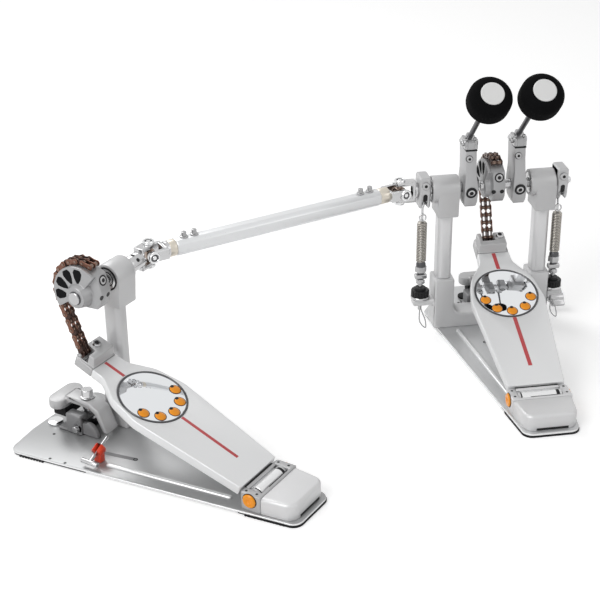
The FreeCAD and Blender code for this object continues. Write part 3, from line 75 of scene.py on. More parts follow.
# Places, in the millimetres of the part's own drawing
MM = Matrix.Scale(0.001, 4)
SHAFT_Z = 195
SHAFT = Matrix.Translation((0, 0, SHAFT_Z))
HINGE = (0, -218, 18)
BOARD = Matrix.Translation(HINGE) @ Matrix.Rotation(math.radians(20.8), 4, "X")
SLAVE_TURN = math.radians(49.4)
PLACES = {
    "main": MM.copy(),
    "slave": MM @ Matrix.Translation((-499, -198, 0)) @ Matrix.Rotation(SLAVE_TURN, 4, "Z"),
}
DRIVES = {"main": "right_drive", "slave": "slave_drive"}
HUB_X = {"right": 27.0, "left": -34.5}
SPRING_X = {"left": -91.5, "right": 82.5}
CHAIN_X = {"main": -4.0, "slave": -13.0}
MAIN_JOINT = Vector((-121, 0, SHAFT_Z))
SLAVE_JOINT = Vector((-435.224, -123.591, SHAFT_Z))
LINK_TURN = math.radians(21.4708)
LINK = MM @ Matrix.Translation(SLAVE_JOINT) @ Matrix.Rotation(LINK_TURN, 4, "Z")
RIGHT = (1, 0, 0)
LEFT = (-1, 0, 0)
# A drawing plane that stands across the shaft, with its Z along the shaft
UPRIGHT = Matrix(((0, 0, 1, 0), (1, 0, 0, 0), (0, 1, 0, 0), (0, 0, 0, 1)))

# Radii about the shaft: a bearing, a housing's barrel as it shows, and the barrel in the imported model
BEARING = 13.0
BARREL = 16.8
CAD_BARREL = 20.5
# Base plates: half their width at the heel and at the widest place, the heel's end and its corners
HEEL_HALF = 32
PLATE_HALF = 76
HEEL_END = -274
PLATE_CORNER = 12
# Footboards: the surface, where the toe block begins and its top
BOARD_TOP = 6
TOE_CUT = 229.2
TOE_TOP = 17.7
# Chains: the pitch, the radius of the pins on the cam, the angle at which the chain leaves it, half the
# height of a link and of the last one at the toe, and where plates and rollers lie across the chain
PITCH = 9.5
PIN_RADIUS = 37.0
LEAVE_ANGLE = math.radians(-22.0)
LINK_HALF = 3.6
TOE_LINK_HALF = 4.6
OUTER_PLATES = ((-6.9, -6.0), (-0.5, 0.5), (6.0, 6.9))
INNER_PLATES = ((-5.85, -5.0), (-1.5, -0.65), (0.65, 1.5), (5.0, 5.85))
ROLLERS = ((-4.95, -1.55), (1.55, 4.95))
# Return springs: the coil's foot, height and radius, and the wire's radius
COIL_FOOT = 98.0
COIL_HEIGHT = 51.5
COIL_RADIUS = 5.6
COIL_WIRE = 0.88

# Angle in degrees from which an edge of a packed sub-part is rounded, and those from which shading breaks
ROUNDED_FROM = 40.0
SHARP = 38.0
CAD_SHARP = 30.0

# Finishes: a colour or the property that holds it, how metallic and rough it is, and how its surface varies
FINISHES = {
    "pale_footboard": ("board", 0.3, 0.36, {"spread": 0.03, "grain": 1600, "depth": 0.04}),
    "milled_grey": ("hub", 0.35, 0.38, {"depth": 0.08, "stretch": (1, 1, 0.06)}),
    "milled_cam": ((0.37, 0.37, 0.375), 0.45, 0.34, {"depth": 0.08}),
    "grey_clamp": ((0.21, 0.21, 0.215), 0.35, 0.4, {"grain": 1400, "depth": 0.08}),
    # A pale finish: polish on the hinge rollers and plate rims, and a painted highlight on the plates' bead
    # ridges and rims
    "polished_bead": ((0.86, 0.865, 0.87), 0.5, 0.25, {"spread": 0.03, "grain": 700, "depth": 0.04}),
    "pale_tube": ((0.80, 0.81, 0.82), 0.4, 0.30, {"spread": 0.03, "grain": 1100, "depth": 0.04}),
    "mirror_disc": ((0.76, 0.775, 0.79), 1.0, 0.03, {"spread": 0.02, "grain": 300, "depth": 0.0}),
    "bright_chrome": ((0.72, 0.725, 0.73), 1.0, 0.12, {"spread": 0.03, "grain": 400, "depth": 0.03}),
    "bearing_steel": ((0.50, 0.50, 0.50), 1.0, 0.2, {"depth": 0.04}),
    "dark_steel": ((0.09, 0.09, 0.095), 0.8, 0.3, {"depth": 0.06}),
    "spring_nickel": ((0.38, 0.36, 0.33), 1.0, 0.26, {"tone": 30, "spread": 0.08, "grain": 700}),
    "tempered_steel": ((0.30, 0.235, 0.195), 1.0, 0.24, {"tone": 40, "spread": 0.15, "grain": 600}),
    "brushed_collar": ((0.62, 0.575, 0.50), 0.9, 0.3, {
        "tone": 30, "spread": 0.08, "grain": 600, "depth": 0.06,
        "stretch": (0.06, 1, 1), "turn": -LINK_TURN}),
    "bronze_chain": ("chain", 0.7, 0.34, {"tone": 60, "spread": 0.22, "grain": 700, "depth": 0.1}),
    # A darker copy of the bronze chain: painted shade on the main chain's length on the cam
    "dark_chain": ((0.085, 0.05, 0.04), 0.75, 0.3, {"tone": 60, "spread": 0.22, "grain": 700, "depth": 0.1}),
    "chain_cores": ((0.06, 0.032, 0.025), 0.7, 0.32, {
        "tone": 60, "spread": 0.25, "grain": 700, "depth": 0.1}),
    "chain_rollers": ((0.22, 0.155, 0.125), 0.85, 0.26, {
        "tone": 60, "spread": 0.2, "grain": 700, "depth": 0.06}),
    "black_rubber": ((0.010, 0.010, 0.011), 0.0, 0.7, {"grain": 500, "depth": 0.4, "spec": 0.2}),
    "black_plastic": ((0.009, 0.009, 0.010), 0.0, 0.38, {"depth": 0.1, "spec": 0.25}),
    "petal_dark": ((0.013, 0.013, 0.014), 0.0, 0.85, {"spec": 0.04}),
    "black_felt": ((0.0045, 0.0045, 0.005), 0.0, 0.95, {
        "tone": 40, "spread": 0.3, "grain": 420, "depth": 0.5, "spec": 0.06}),
    "white_cap": ((0.82, 0.82, 0.815), 0.0, 0.35, {"spread": 0.02, "grain": 700, "depth": 0.03}),
    "orange_plastic": ("accent", 0.0, 0.3, {"spread": 0.06, "grain": 800, "coat": 0.1, "spec": 0.3}),
    "red_plastic": ("stripe", 0.0, 0.34, {"spread": 0.06, "depth": 0.04, "coat": 0.1}),
    "clip_plastic": ("clip", 0.0, 0.3, {"spread": 0.06, "depth": 0.04, "coat": 0.2}),
}
# Slots of the record whose finish has a name of its own
SLOT_FINISHES = {
    "board_silver": "pale_footboard",
    "hub_grey": "milled_grey",
    "tube_silver": "pale_tube",
    "bright_steel": "bright_chrome",
    "chain_bronze": "bronze_chain",
}
MATERIALS = {}


def colour_prop(name, text, value):
    return bpy.props.FloatVectorProperty(
        name=name, description=text, default=value, subtype="COLOR", min=0, max=1)


def length_prop(name, text, value):
    return bpy.props.FloatProperty(
        name=name, description=text, default=value, subtype="DISTANCE", unit="LENGTH")


class PedalColours(bpy.types.PropertyGroup):
    casting: colour_prop("Castings", "Satin silver of posts, housings and pedestals", (0.62, 0.62, 0.625))
    board: colour_prop("Footboards", "Pale silver of the footboards", (0.79, 0.795, 0.80))
    plate: colour_prop("Base plates", "Brushed grey of the base plates", (0.50, 0.505, 0.51))
    heel: colour_prop("Heels", "Grey of the heel blocks", (0.44, 0.44, 0.445))
    hub: colour_prop("Hubs", "Grey of beater hubs and spring rockers", (0.47, 0.47, 0.475))
    accent: colour_prop("Grips", "Orange of the grips and hinge caps", (0.95, 0.33, 0.012))
    stripe: colour_prop("Stripe", "Red of the footboard stripes", (0.52, 0.062, 0.07))
    clip: colour_prop("Clip", "Bright red of the key clip", (0.86, 0.065, 0.02))
    chain: colour_prop("Chain", "Bronze of the chain plates", (0.18, 0.084, 0.057))


class PedalSizes(bpy.types.PropertyGroup):
    casting_edge: length_prop("Casting edge", "Rounding on castings", 0.0016)
    sheet_edge: length_prop("Sheet edge", "Rounding on plates and footboards", 0.0012)
    small_edge: length_prop("Small edge", "Rounding on turned and milled fittings", 0.0007)
    spring_turns: bpy.props.IntProperty(
        name="Spring turns", description="Turns in a return spring", default=24, min=6)


def colours():
    return bpy.context.scene.pedal_colours


def sizes():
    return bpy.context.scene.pedal_sizes


def feed(tree, node, inputs):
    """Gives each input of a node a value, or a link from the socket that is given for it."""
    for name, value in inputs.items():
        if isinstance(value, bpy.types.NodeSocket):
            tree.links.new(value, node.inputs[name])
        else:
            node.inputs[name].default_value = value
    return node


def add_node(tree, kind, inputs):
    """A new shader node with its inputs fed."""
    return feed(tree, tree.nodes.new("ShaderNode" + kind), inputs)


def finish(name, colour, metallic, rough, tone=9.0, spread=0.05, grain=900.0, depth=0.05,
           stretch=(1, 1, 1), turn=0.0, coat=0.0, spec=0.5):
    """A material whose colour, gloss and surface vary over the piece, kept so that pieces can share it."""
    if name in MATERIALS:
        return MATERIALS[name]
    mat = bpy.data.materials.new(name)
    mat.use_nodes = True
    tree = mat.node_tree
    place = tree.nodes.new("ShaderNodeTexCoord").outputs["Object"]
    spin = add_node(tree, "Mapping", {"Vector": place, "Rotation": (0, 0, turn)})
    squeeze = add_node(tree, "Mapping", {"Vector": spin.outputs["Vector"], "Scale": stretch})
    clouds = add_node(tree, "TexNoise", {"Vector": place, "Scale": tone, "Detail": 4.0})
    fine = add_node(tree, "TexNoise", {"Vector": squeeze.outputs["Vector"], "Scale": grain, "Detail": 5.0})
    tint = tree.nodes.new("ShaderNodeMix")
    tint.data_type = "RGBA"
    feed(tree, tint, {
        "A": (*[c * (1 - spread) for c in colour], 1),
        "B": (*[min(1.0, c * (1 + spread)) for c in colour], 1),
        "Factor": clouds.outputs["Fac"]})
    gloss = add_node(tree, "MapRange", {
        "To Min": max(0.02, rough * 0.8), "To Max": min(1.0, rough * 1.2), "Value": fine.outputs["Fac"]})
    bump = add_node(tree, "Bump", {"Strength": depth, "Distance": 0.0006, "Height": fine.outputs["Fac"]})
    feed(tree, tree.nodes["Principled BSDF"], {
        "Metallic": metallic, "Coat Weight": coat, "Specular IOR Level": spec,
        "Base Color": tint.outputs["Result"], "Roughness": gloss.outputs["Result"],
        "Normal": bump.outputs["Normal"]})
    MATERIALS[name] = mat
    return mat


def material(name):
    """A finish by its own name, or by the slot that has it."""
    name = SLOT_FINISHES.get(name, name)
    colour, metallic, rough, surface = FINISHES[name]
    if isinstance(colour, str):
        colour = getattr(colours(), colour)
    return finish(name, colour, metallic, rough, **surface)


def shaded(colour, shade):
    """One of the colour properties, made lighter or darker."""
    return [shade * v for v in getattr(colours(), colour)]


def casting(shade):
    """Satin cast silver in lighter and darker copies of one colour: painted light and painted shade for how
    brightly each casting is lit.
    """
    return finish(f"satin_casting_{round(100 * shade)}", shaded("casting", shade), 0.3, 0.40, spread=0.04,
                  grain=1400, depth=0.06)


def plate_metal(pedal):
    """Brushed grey, with its grain along the pedal; the main plate is a lighter copy and the slave plate a
    darker one, painted light and painted shade.
    """
    shade, turn = {"main": (1.12, 0.0), "slave": (0.78, -SLAVE_TURN)}[pedal]
    return finish(f"brushed_plate_{pedal}", shaded("plate", shade), 0.5, 0.36, grain=700, depth=0.08,
                  stretch=(1, 0.03, 1), turn=turn)


def heel_metal(pedal):
    # Satin heel grey; the main pedal's lighter copy is painted light.
    shade = {"main": 1.5, "slave": 1.0}[pedal]
    return finish(f"satin_heel_{pedal}", shaded("heel", shade), 0.35, 0.38, spread=0.04, grain=1400,
                  depth=0.06)


def rocker_metal():
    return finish("milled_rocker", shaded("hub", 1.16), 0.35, 0.38, depth=0.08, stretch=(1, 1, 0.06))


def polished(tone):
    """Plated steel, made darker than the bright fittings: a painted reflection of dark surroundings, for
    contrast on the chrome.
    """
    return finish(f"plated_steel_{round(100 * tone)}", (tone, tone, tone * 1.01), 1.0, 0.16, grain=500,
                  depth=0.04)


def pour(bm, part, place):
    """Moves a small mesh to its place and adds it to a larger one."""
    bmesh.ops.transform(part, matrix=place, verts=part.verts)
    mesh = bpy.data.meshes.new("part")
    part.to_mesh(mesh)
    part.free()
    bm.from_mesh(mesh)
    bpy.data.meshes.remove(mesh)


def lathe(bm, profile, place, steps=40):
    """A turned shape: (radius, height) points spun about Z, joined up unless they end on the axis."""
    part = bmesh.new()
    points = [part.verts.new((r, 0, h)) for r, h in profile]
    line = points if profile[-1][0] == 0 else points + points[:1]
    edges = [part.edges.new(pair) for pair in zip(line, line[1:])]
    bmesh.ops.spin(part, geom=points + edges, cent=(0, 0, 0), axis=(0, 0, 1), dvec=(0, 0, 0),
                   angle=2 * math.pi, steps=steps, use_merge=True, use_duplicate=False)
    bmesh.ops.remove_doubles(part, verts=part.verts, dist=1e-4)
    bmesh.ops.recalc_face_normals(part, faces=part.faces)
    pour(bm, part, place)


def drum(bm, radii, heights, place, steps=20):
    """A plain turned ring between two radii and two heights, or a solid pin where the first radius is 0."""
    (r0, r1), (h0, h1) = radii, heights
    lathe(bm, [(r0, h0), (r1, h0), (r1, h1), (r0, h1)], place, steps)


def lathe_along(axis, spot=(0, 0, 0)):
    """A turned shape's place: its axis laid along a direction at a spot."""
    return Matrix.Translation(spot) @ Vector((0, 0, 1)).rotation_difference(Vector(axis)).to_matrix().to_4x4()


def round_edges(bm, edges, size, segments, **more):
    bmesh.ops.bevel(bm, geom=edges, offset=size, offset_type="OFFSET", affect="EDGES", segments=segments,
                    profile=0.5, material=-1, **more)


def slab(bm, points, z0, z1, place, edge=0.0, segments=2):
    """A flat outline drawn out from z0 to z1, with its edges rounded."""
    part = bmesh.new()
    face = part.faces.new([part.verts.new((x, y, z0)) for x, y in points])
    raised = bmesh.ops.extrude_face_region(part, geom=[face])
    top = [v for v in raised["geom"] if isinstance(v, bmesh.types.BMVert)]
    bmesh.ops.translate(part, vec=(0, 0, z1 - z0), verts=top)
    bmesh.ops.recalc_face_normals(part, faces=part.faces)
    if edge:
        rims = [e for e in part.edges if abs(e.verts[0].co.z - e.verts[1].co.z) < 1e-6]
        round_edges(part, rims, edge, segments, clamp_overlap=True)
    pour(bm, part, place)


def block(bm, x, y, z, place, edge=0.0, segments=2):
    """A block between two values on each axis, with its edges rounded."""
    part = bmesh.new()
    bmesh.ops.create_cube(part, size=1.0)
    spans = (x, y, z)
    bmesh.ops.scale(part, vec=[high - low for low, high in spans], verts=part.verts)
    bmesh.ops.translate(part, vec=[(low + high) / 2 for low, high in spans], verts=part.verts)
    if edge:
        round_edges(part, part.edges[:], edge, segments, clamp_overlap=True)
    pour(bm, part, place)


def wire(bm, points, radius, place, cyclic=False):
    """A bent round wire along a smooth line."""
    curve = bpy.data.curves.new("wire", "CURVE")
    curve.dimensions = "3D"
    curve.bevel_depth = radius
    curve.bevel_resolution = 3
    curve.use_fill_caps = True
    curve.resolution_u = 6
    spline = curve.splines.new("NURBS")
    spline.points.add(len(points) - 1)
    for spot, point in zip(points, spline.points):
        point.co = (*spot, 1)
    spline.order_u = 3
    spline.use_cyclic_u = cyclic
    spline.use_endpoint_u = not cyclic
    holder = bpy.data.objects.new("wire", curve)
    mesh = bpy.data.meshes.new_from_object(holder)
    bpy.data.objects.remove(holder)
    bpy.data.curves.remove(curve)
    part = bmesh.new()
    part.from_mesh(mesh)
    bpy.data.meshes.remove(mesh)
    bmesh.ops.remove_doubles(part, verts=part.verts, dist=1e-4)
    pour(bm, part, place)


def socket_screw(bm, place, radius, height, hollow, dark):
    """A round screw head on the place's XY plane, and the floor of its six-sided socket in a dark mesh:
    painted shade in the socket.
    """
    well = radius * hollow
    drum(dark, (0, well * 1.1), (height * 0.7, -0.2), place, 6)
    lathe(bm, [(0, -0.6), (radius, -0.6), (radius, height * 0.6), (radius * 0.86, height), (well, height),
               (well, height * 0.35), (0, height * 0.35)], place, 24)


def soft_outline(points, radius, steps=6):
    """A closed outline with its corners rounded."""
    soft = []
    for i, point in enumerate(points):
        corner = Vector(point)
        back = (Vector(points[i - 1]) - corner).normalized()
        ahead = (Vector(points[(i + 1) % len(points)]) - corner).normalized()
        half = back.angle(ahead) / 2
        centre = corner + (back + ahead).normalized() * radius / math.sin(half)
        first = corner + back * radius / math.tan(half) - centre
        last = corner + ahead * radius / math.tan(half) - centre
        for k in range(steps + 1):
            soft.append(tuple(centre + first.lerp(last, k / steps).normalized() * radius))
    return soft


def mirrored(side):
    """A closed outline from the points on its right side."""
    return side + [(-x, y) for x, y in reversed(side)]


def stadium(a, b, half, steps=10):
    """Outline of a straight slot with round ends."""
    turn = math.degrees(math.atan2(b[1] - a[1], b[0] - a[0]))
    points = []
    for centre, start in ((b, turn - 90), (a, turn + 90)):
        for k in range(steps + 1):
            t = math.radians(start + 180 * k / steps)
            points.append((centre[0] + half * math.cos(t), centre[1] + half * math.sin(t)))
    return points


def oblong(length, half, steps=7):
    """Outline of a chain plate: two round ends with a waist between them."""
    points = []
    for end, start in ((length, -70), (0, 110)):
        for k in range(steps):
            a = math.radians(start + 140 * k / (steps - 1))
            points.append((end + half * math.cos(a), half * math.sin(a)))
        points.append((length / 2, half * 0.72 if end else -half * 0.72))
    return points


def keep(name, bm, body, slot, mat=None, replaces=(), sharp=SHARP):
    """Makes a finished piece, in its slot's finish unless it has its own, and ties it to its body."""
    mesh = bpy.data.meshes.new(name)
    bm.to_mesh(mesh)
    bm.free()
    mesh.materials.append(mat or material(slot))
    mesh.polygons.foreach_set("use_smooth", [True] * len(mesh.polygons))
    mesh.set_sharp_from_angle(angle=math.radians(sharp))
    obj = bpy.data.objects.new(name, mesh)
    bpy.context.scene.collection.objects.link(obj)
    if body:
        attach(obj, body)
    if replaces:
        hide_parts(*replaces)
    return obj


def turned(name, profile, place, steps, body, slot, mat=None, replaces=()):
    """A piece with a single turned shape."""
    bm = bmesh.new()
    lathe(bm, profile, place, steps)
    keep(name, bm, body, slot, mat, replaces)


def body_of(node):
    return frame["nodes"][node]["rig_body"]


def cad_copy(node):
    """The merged mesh of a CAD sub-part."""
    bm = bmesh.new()
    bm.from_mesh(frame["nodes"][node].data)
    bmesh.ops.remove_doubles(bm, verts=bm.verts, dist=2e-6)
    return bm


def islands(bm):
    """The separate solids of a mesh, as sets of vertex numbers."""
    bm.verts.index_update()
    bm.verts.ensure_lookup_table()
    left = set(range(len(bm.verts)))
    found = []
    while left:
        queue = [left.pop()]
        group = set(queue)
        while queue:
            vert = bm.verts[queue.pop()]
            for e in vert.link_edges:
                other = e.other_vert(vert).index
                if other in left:
                    left.discard(other)
                    group.add(other)
                    queue.append(other)
        found.append(group)
    return found


def split_off(bm, home, test):
    """Takes the solids whose centre passes a test out of a mesh, and gives them as another."""
    picked = set()
    for group in islands(bm):
        centre = sum((bm.verts[i].co for i in group), Vector()) / len(group)
        if test(home @ centre):
            picked |= group
    other = bm.copy()
    other.verts.index_update()
    bmesh.ops.delete(other, geom=[v for v in other.verts if v.index not in picked], context="VERTS")
    bmesh.ops.delete(bm, geom=[v for v in bm.verts if v.index in picked], context="VERTS")
    return other


def soften(bm, edge, segments=2, shape=None, home=None):
    """Joins coplanar triangles, lets a function shape the mesh and rounds its sharp edges."""
    bmesh.ops.dissolve_limit(bm, angle_limit=math.radians(0.6), use_dissolve_boundaries=False, verts=bm.verts,
                             edges=bm.edges, delimit=set())
    if shape:
        shape(bm, home)
    corner = math.radians(ROUNDED_FROM)
    sharp = [e for e in bm.edges if len(e.link_faces) == 2 and e.calc_face_angle(0.0) > corner]
    if sharp:
        round_edges(bm, sharp, edge, segments, clamp_overlap=False, loop_slide=True)


def rounded(node, slot, edge, mat=None, segments=2, shape=None, apart=None):
    """A copy of a CAD sub-part with its edges rounded; the solids set apart become a piece of their own.

    apart gives that piece's name, test, slot and edge, and its finish and shape where it has its own.
    """
    body = body_of(node)
    home = PLACES["slave" if node.startswith("slave") else "main"].inverted()
    bm = cad_copy(node)
    if apart:
        other = split_off(bm, home, apart["test"])
        soften(other, apart["edge"], segments, apart.get("shape"), home)
        keep(f"{node}_{apart['name']}", other, body, apart["slot"], apart.get("mat"), (), CAD_SHARP)
    soften(bm, edge, segments, shape, home)
    keep(node + "_piece", bm, body, slot, mat, (node,), CAD_SHARP)


def reshape(bm, there, back, move):
    """Lets a function move each vertex as a spot of another frame, with the ways there and back."""
    for vert in bm.verts:
        spot = there @ vert.co
        move(spot)
        vert.co = back @ spot


def mover(move):
    """The shape function of a sub-part whose vertices are moved in the drawing."""
    return lambda bm, home: reshape(bm, home, home.inverted(), move)


def taper(bm, levels, x, home):
    """Scales a mesh along X about a plane, by factors given at heights above the shaft."""
    for z, _ in levels[1:-1]:
        bmesh.ops.bisect_plane(bm, geom=bm.verts[:] + bm.edges[:] + bm.faces[:], dist=1e-7,
                               plane_co=home.inverted() @ Vector((x, 0, SHAFT_Z + z)), plane_no=(0, 0, 1))

    def narrow(spot):
        z = min(max(spot.z - SHAFT_Z, levels[0][0]), levels[-1][0])
        for (z0, f0), (z1, f1) in zip(levels, levels[1:]):
            if z <= z1:
                break
        spot.x = x + (spot.x - x) * (f0 + (f1 - f0) * (z - z0) / (z1 - z0))

    mover(narrow)(bm, home)


def halve(bm, place, far):
    """Keeps the near or far side of the plane across a place's Y axis, and closes the cut."""
    bmesh.ops.bisect_plane(bm, geom=bm.verts[:] + bm.edges[:] + bm.faces[:], dist=1e-7,
                           plane_co=place.translation, plane_no=place.col[1].to_3d().normalized(),
                           clear_inner=far, clear_outer=not far)
    bmesh.ops.holes_fill(bm, edges=[e for e in bm.edges if e.is_boundary])


def slim_barrel(spot):
    """Draws the barrel of a bearing housing in around its bearings."""
    reach = math.hypot(spot.y, spot.z - SHAFT_Z)
    if BEARING + 0.05 < reach < CAD_BARREL + 0.1:
        wall = (reach - BEARING) * (BARREL - BEARING) / (CAD_BARREL - BEARING)
        ratio = (BEARING + wall) / reach
        spot.y *= ratio
        spot.z = SHAFT_Z + (spot.z - SHAFT_Z) * ratio


def slim_cam(spot, mid):
    """Draws in the block beside the chain and the boss outside the cheek."""
    block_x, cheek_x, boss_radius = mid + 6, mid - 12.7, 11.8
    reach = math.hypot(spot.y, spot.z - SHAFT_Z)
    if spot.x > block_x + 0.05:
        spot.x = block_x + (spot.x - block_x) * 0.4
    if spot.x < cheek_x and reach > 12:
        spot.y *= boss_radius / reach
        spot.z = SHAFT_Z + (spot.z - SHAFT_Z) * boss_radius / reach


def low_toe(spot):
    """Lowers the top of a toe block and draws in both its ends."""
    back, front = 240, 252
    if spot.z > BOARD_TOP - 0.05 and abs(spot.x) < 17.6 and 221 < spot.y < back:
        spot.y = back - (back - spot.y) * 0.55
    if spot.z > BOARD_TOP:
        spot.z = BOARD_TOP + (spot.z - BOARD_TOP) * 0.9
    if spot.y > front:
        spot.y = front + (spot.y - front) * 0.3


def widen_cap(spot):
    """Spreads the front of a heel cap to the width of its bracket."""
    spot.x *= 1 + 0.14 * min(max((spot.y + 264) / 28, 0), 1)


class PEDAL_OT_castings(bpy.types.Operator):
    """Pedestals, posts, bearing housings and bearing rings"""
    bl_idname = "pedal.castings"
    bl_label = "Castings"
    bl_options = {"REGISTER", "UNDO"}

    def execute(self, context):
        edge = sizes().casting_edge
        # Lighter and darker copies of the cast silver: painted light on the posts, painted shade on the main
        # bearing housings.
        shades = {"main_pedestal": 1.0, "slave_pedestal": 1.0, "main_posts": 1.16, "slave_post": 1.05}
        for node, shade in shades.items():
            rounded(node, "cast_silver", edge, casting(shade))
        housings = {"main": casting(0.86), "slave": casting(1.0)}
        for node in ("main_bearing_housings", "slave_bearing_housing"):
            rounded(node, "cast_silver", edge, housings[node.split("_")[0]], shape=mover(slim_barrel))
        for node in ("main_bearings", "slave_bearings"):
            rounded(node, "bearing_steel", sizes().small_edge)
        outline = [(-BARREL, 0), (BARREL, 0), (20.0, -33.8), (-14.5, -33.8)]
        spans = {"main": ((-75.3, -48.7), (48.7, 74.9)), "slave": ((22.2, 52.3),)}
        for pedal, place in PLACES.items():
            skirt = bmesh.new()
            for x0, x1 in spans[pedal]:
                slab(skirt, outline, x0, x1, place @ SHAFT @ UPRIGHT, 1.6)
            keep(f"{pedal}_housing_skirt", skirt, f"{pedal}_frame", "cast_silver", housings[pedal])
        seals = bmesh.new()
        for ends in ((21.75, 22.3), (52.2, 52.75)):
            for radii in ((7.6, 9.0), (11.8, 13.6)):
                drum(seals, radii, ends, PLACES["slave"] @ SHAFT @ lathe_along(RIGHT), 40)
        keep("slave_bearing_seals", seals, "slave_frame", "black_plastic")
        return {"FINISHED"}


def make_strip(pedal, slope):
    """The rubber that shows at the heel's edge, with ribs along the side of the second pedal."""
    place = PLACES[pedal]
    strip_y, rib_step = -206, 3.6
    reach = HEEL_HALF + 0.7 + slope * (strip_y - HEEL_END)
    strip = bmesh.new()
    outline = mirrored([(HEEL_HALF + 0.6, HEEL_END - 0.7), (reach, strip_y)])
    slab(strip, soft_outline(outline, PLATE_CORNER), 0.03, 2.1, place)
    if pedal == "slave":
        for y0, y1 in ((-258, -208), (34, 68)):
            for k in range(int((y1 - y0) / rib_step)):
                y = y0 + rib_step * k
                x = HEEL_HALF + 0.4 + slope * (y - HEEL_END)
                block(strip, (-x - 0.6, -x + 3), (y - 1.1, y + 1.1), (0.03, 2.3), place)
    keep(f"{pedal}_heel_strip", strip, f"{pedal}_frame", "black_rubber")


def make_plate(pedal, side):
    """The plate with its two beads, and the pale rim and ridges that stand a little proud: a painted
    highlight along the bead crests, and on the polished rim.
    """
    place, body = PLACES[pedal], f"{pedal}_frame"
    plate, ridges = bmesh.new(), bmesh.new()
    slab(plate, soft_outline(mirrored(side), PLATE_CORNER), 2, 5, place, 0.9)
    bead = {"main": ((45.5, -22), (26, -186)), "slave": ((43.5, -38), (26.5, -186))}[pedal]
    for s in (-1, 1):
        a, b = [(s * x, y) for x, y in bead]
        slab(plate, stadium(a, b, 3.8), 2.4, 5.5, place, 0.45)
        # Pale ridges along the bead crests: a painted highlight
        slab(ridges, stadium(a, b, 2.8), 2.4, 7.5, place, 2.0, 4)
    # A pale rim round the plate: polish and a painted highlight
    rim = [(x * 1.002, y + math.copysign(0.12, y)) for x, y in side]
    slab(ridges, soft_outline(mirrored(rim), PLATE_CORNER), 2.3, 4.3, place, 0.2, 1)
    keep(f"{pedal}_plate_ridges", ridges, body, "plate_grey", material("polished_bead"))
    keep(f"{pedal}_plate_piece", plate, body, "plate_grey", plate_metal(pedal), (f"{pedal}_base_plate",),
         CAD_SHARP)


def make_holes(pedal):
    """Screw holes and a ring in the plate, and the slot that runs to the ring on the second pedal."""
    place, body = PLACES[pedal], f"{pedal}_frame"
    holes = bmesh.new()
    for x, y in ((-24.8, 55.9), (-10.8, 28.1), (-66.0, 26.7), (-64.4, 6.6)):
        drum(holes, (0, 1.7), (5.04, 4.6), place @ Matrix.Translation((x, y, 0)))
    slot_end = (-19.3, -56.0)
    drum(holes, (1.5, 2.6), (5.3, 4.6), place @ Matrix.Translation((*slot_end, 0)), 24)
    keep(f"{pedal}_plate_holes", holes, body, "black_plastic")
    if pedal == "slave":
        slot = bmesh.new()
        slab(slot, stadium((-26.5, -16.0), slot_end, 2.9), 4.5, 5.12, place, 0.1, 1)
        keep("slave_plate_slot", slot, body, "dark_steel", material("grey_clamp"))


class PEDAL_OT_plates(bpy.types.Operator):
    """Base plates with pressed beads, and the rubber under them"""
    bl_idname = "pedal.plates"
    bl_label = "Base plates"
    bl_options = {"REGISTER", "UNDO"}

    def execute(self, context):
        for pedal in PLACES:
            rounded(f"{pedal}_base_rubber", "black_rubber", 0.0004)
            side = [(HEEL_HALF, HEEL_END)]
            side += {"main": [(PLATE_HALF, 40), (34, 104)], "slave": [(PLATE_HALF, 78), (27, 84.5)]}[pedal]
            make_strip(pedal, (PLATE_HALF - HEEL_HALF) / (side[1][1] - HEEL_END))
            make_plate(pedal, side)
            make_holes(pedal)
        return {"FINISHED"}


class PEDAL_OT_heels(bpy.types.Operator):
    """Heel blocks, their set screws, painted shade in a slot and a gap, and the hinge pins with orange caps
    """
    bl_idname = "pedal.heels"
    bl_label = "Heel hinges"
    bl_options = {"REGISTER", "UNDO"}

    def execute(self, context):
        bracket_top = 25.56
        for pedal, place in PLACES.items():
            body = f"{pedal}_frame"
            near, far = place @ lathe_along(LEFT, HINGE), place @ lathe_along(RIGHT, HINGE)
            rounded(f"{pedal}_heel_block", "cast_silver", sizes().sheet_edge, heel_metal(pedal), apart={
                "name": "cap", "test": lambda p: p.y < -234, "slot": "cast_silver", "edge": 0.0012,
                "mat": casting(1.12), "shape": mover(widen_cap)})
            dark = bmesh.new()
            for x in (-31.0, 31.0):
                for y in (-224.0, -211.0):
                    drum(dark, (0, 1.5), (bracket_top, 25.0), place @ Matrix.Translation((x, y, 0)))
            # Painted shade in the slot at the heel's rear end
            block(dark, (-18, 19.5), (-269.2, -268.0), (5.8, 8.6), place)
            # Painted shadow of the gap along the bracket's top
            block(dark, (-13, 22.4), (-228.1, -226.95), (24.6, bracket_top), place)
            drum(dark, (7.8, 8.6), (35.8, 36.5), near, 40)
            keep(f"{pedal}_heel_screws", dark, body, "black_plastic")
            turned(f"{pedal}_hinge_rod", [(0, -36.2), (4, -36.2), (4, 36.2), (0, 36.2)], far, 32, body,
                   "bright_steel")
            caps = bmesh.new()
            proud = [(0, 36), (8, 36), (8, 37.4), (6.9, 38.5), (3.4, 38.5), (2.4, 37.6), (0, 37.6)]
            flush = [(0, 36), (7, 36), (7, 36.3), (6.6, 36.6), (3.4, 36.6), (2.8, 36.3), (0, 36.3)]
            lathe(caps, proud, near, 12)
            lathe(caps, flush, far, 12)
            keep(f"{pedal}_hinge_caps", caps, body, "orange_plastic", None, (f"{pedal}_hinge_pin",), 20.0)
        return {"FINISHED"}


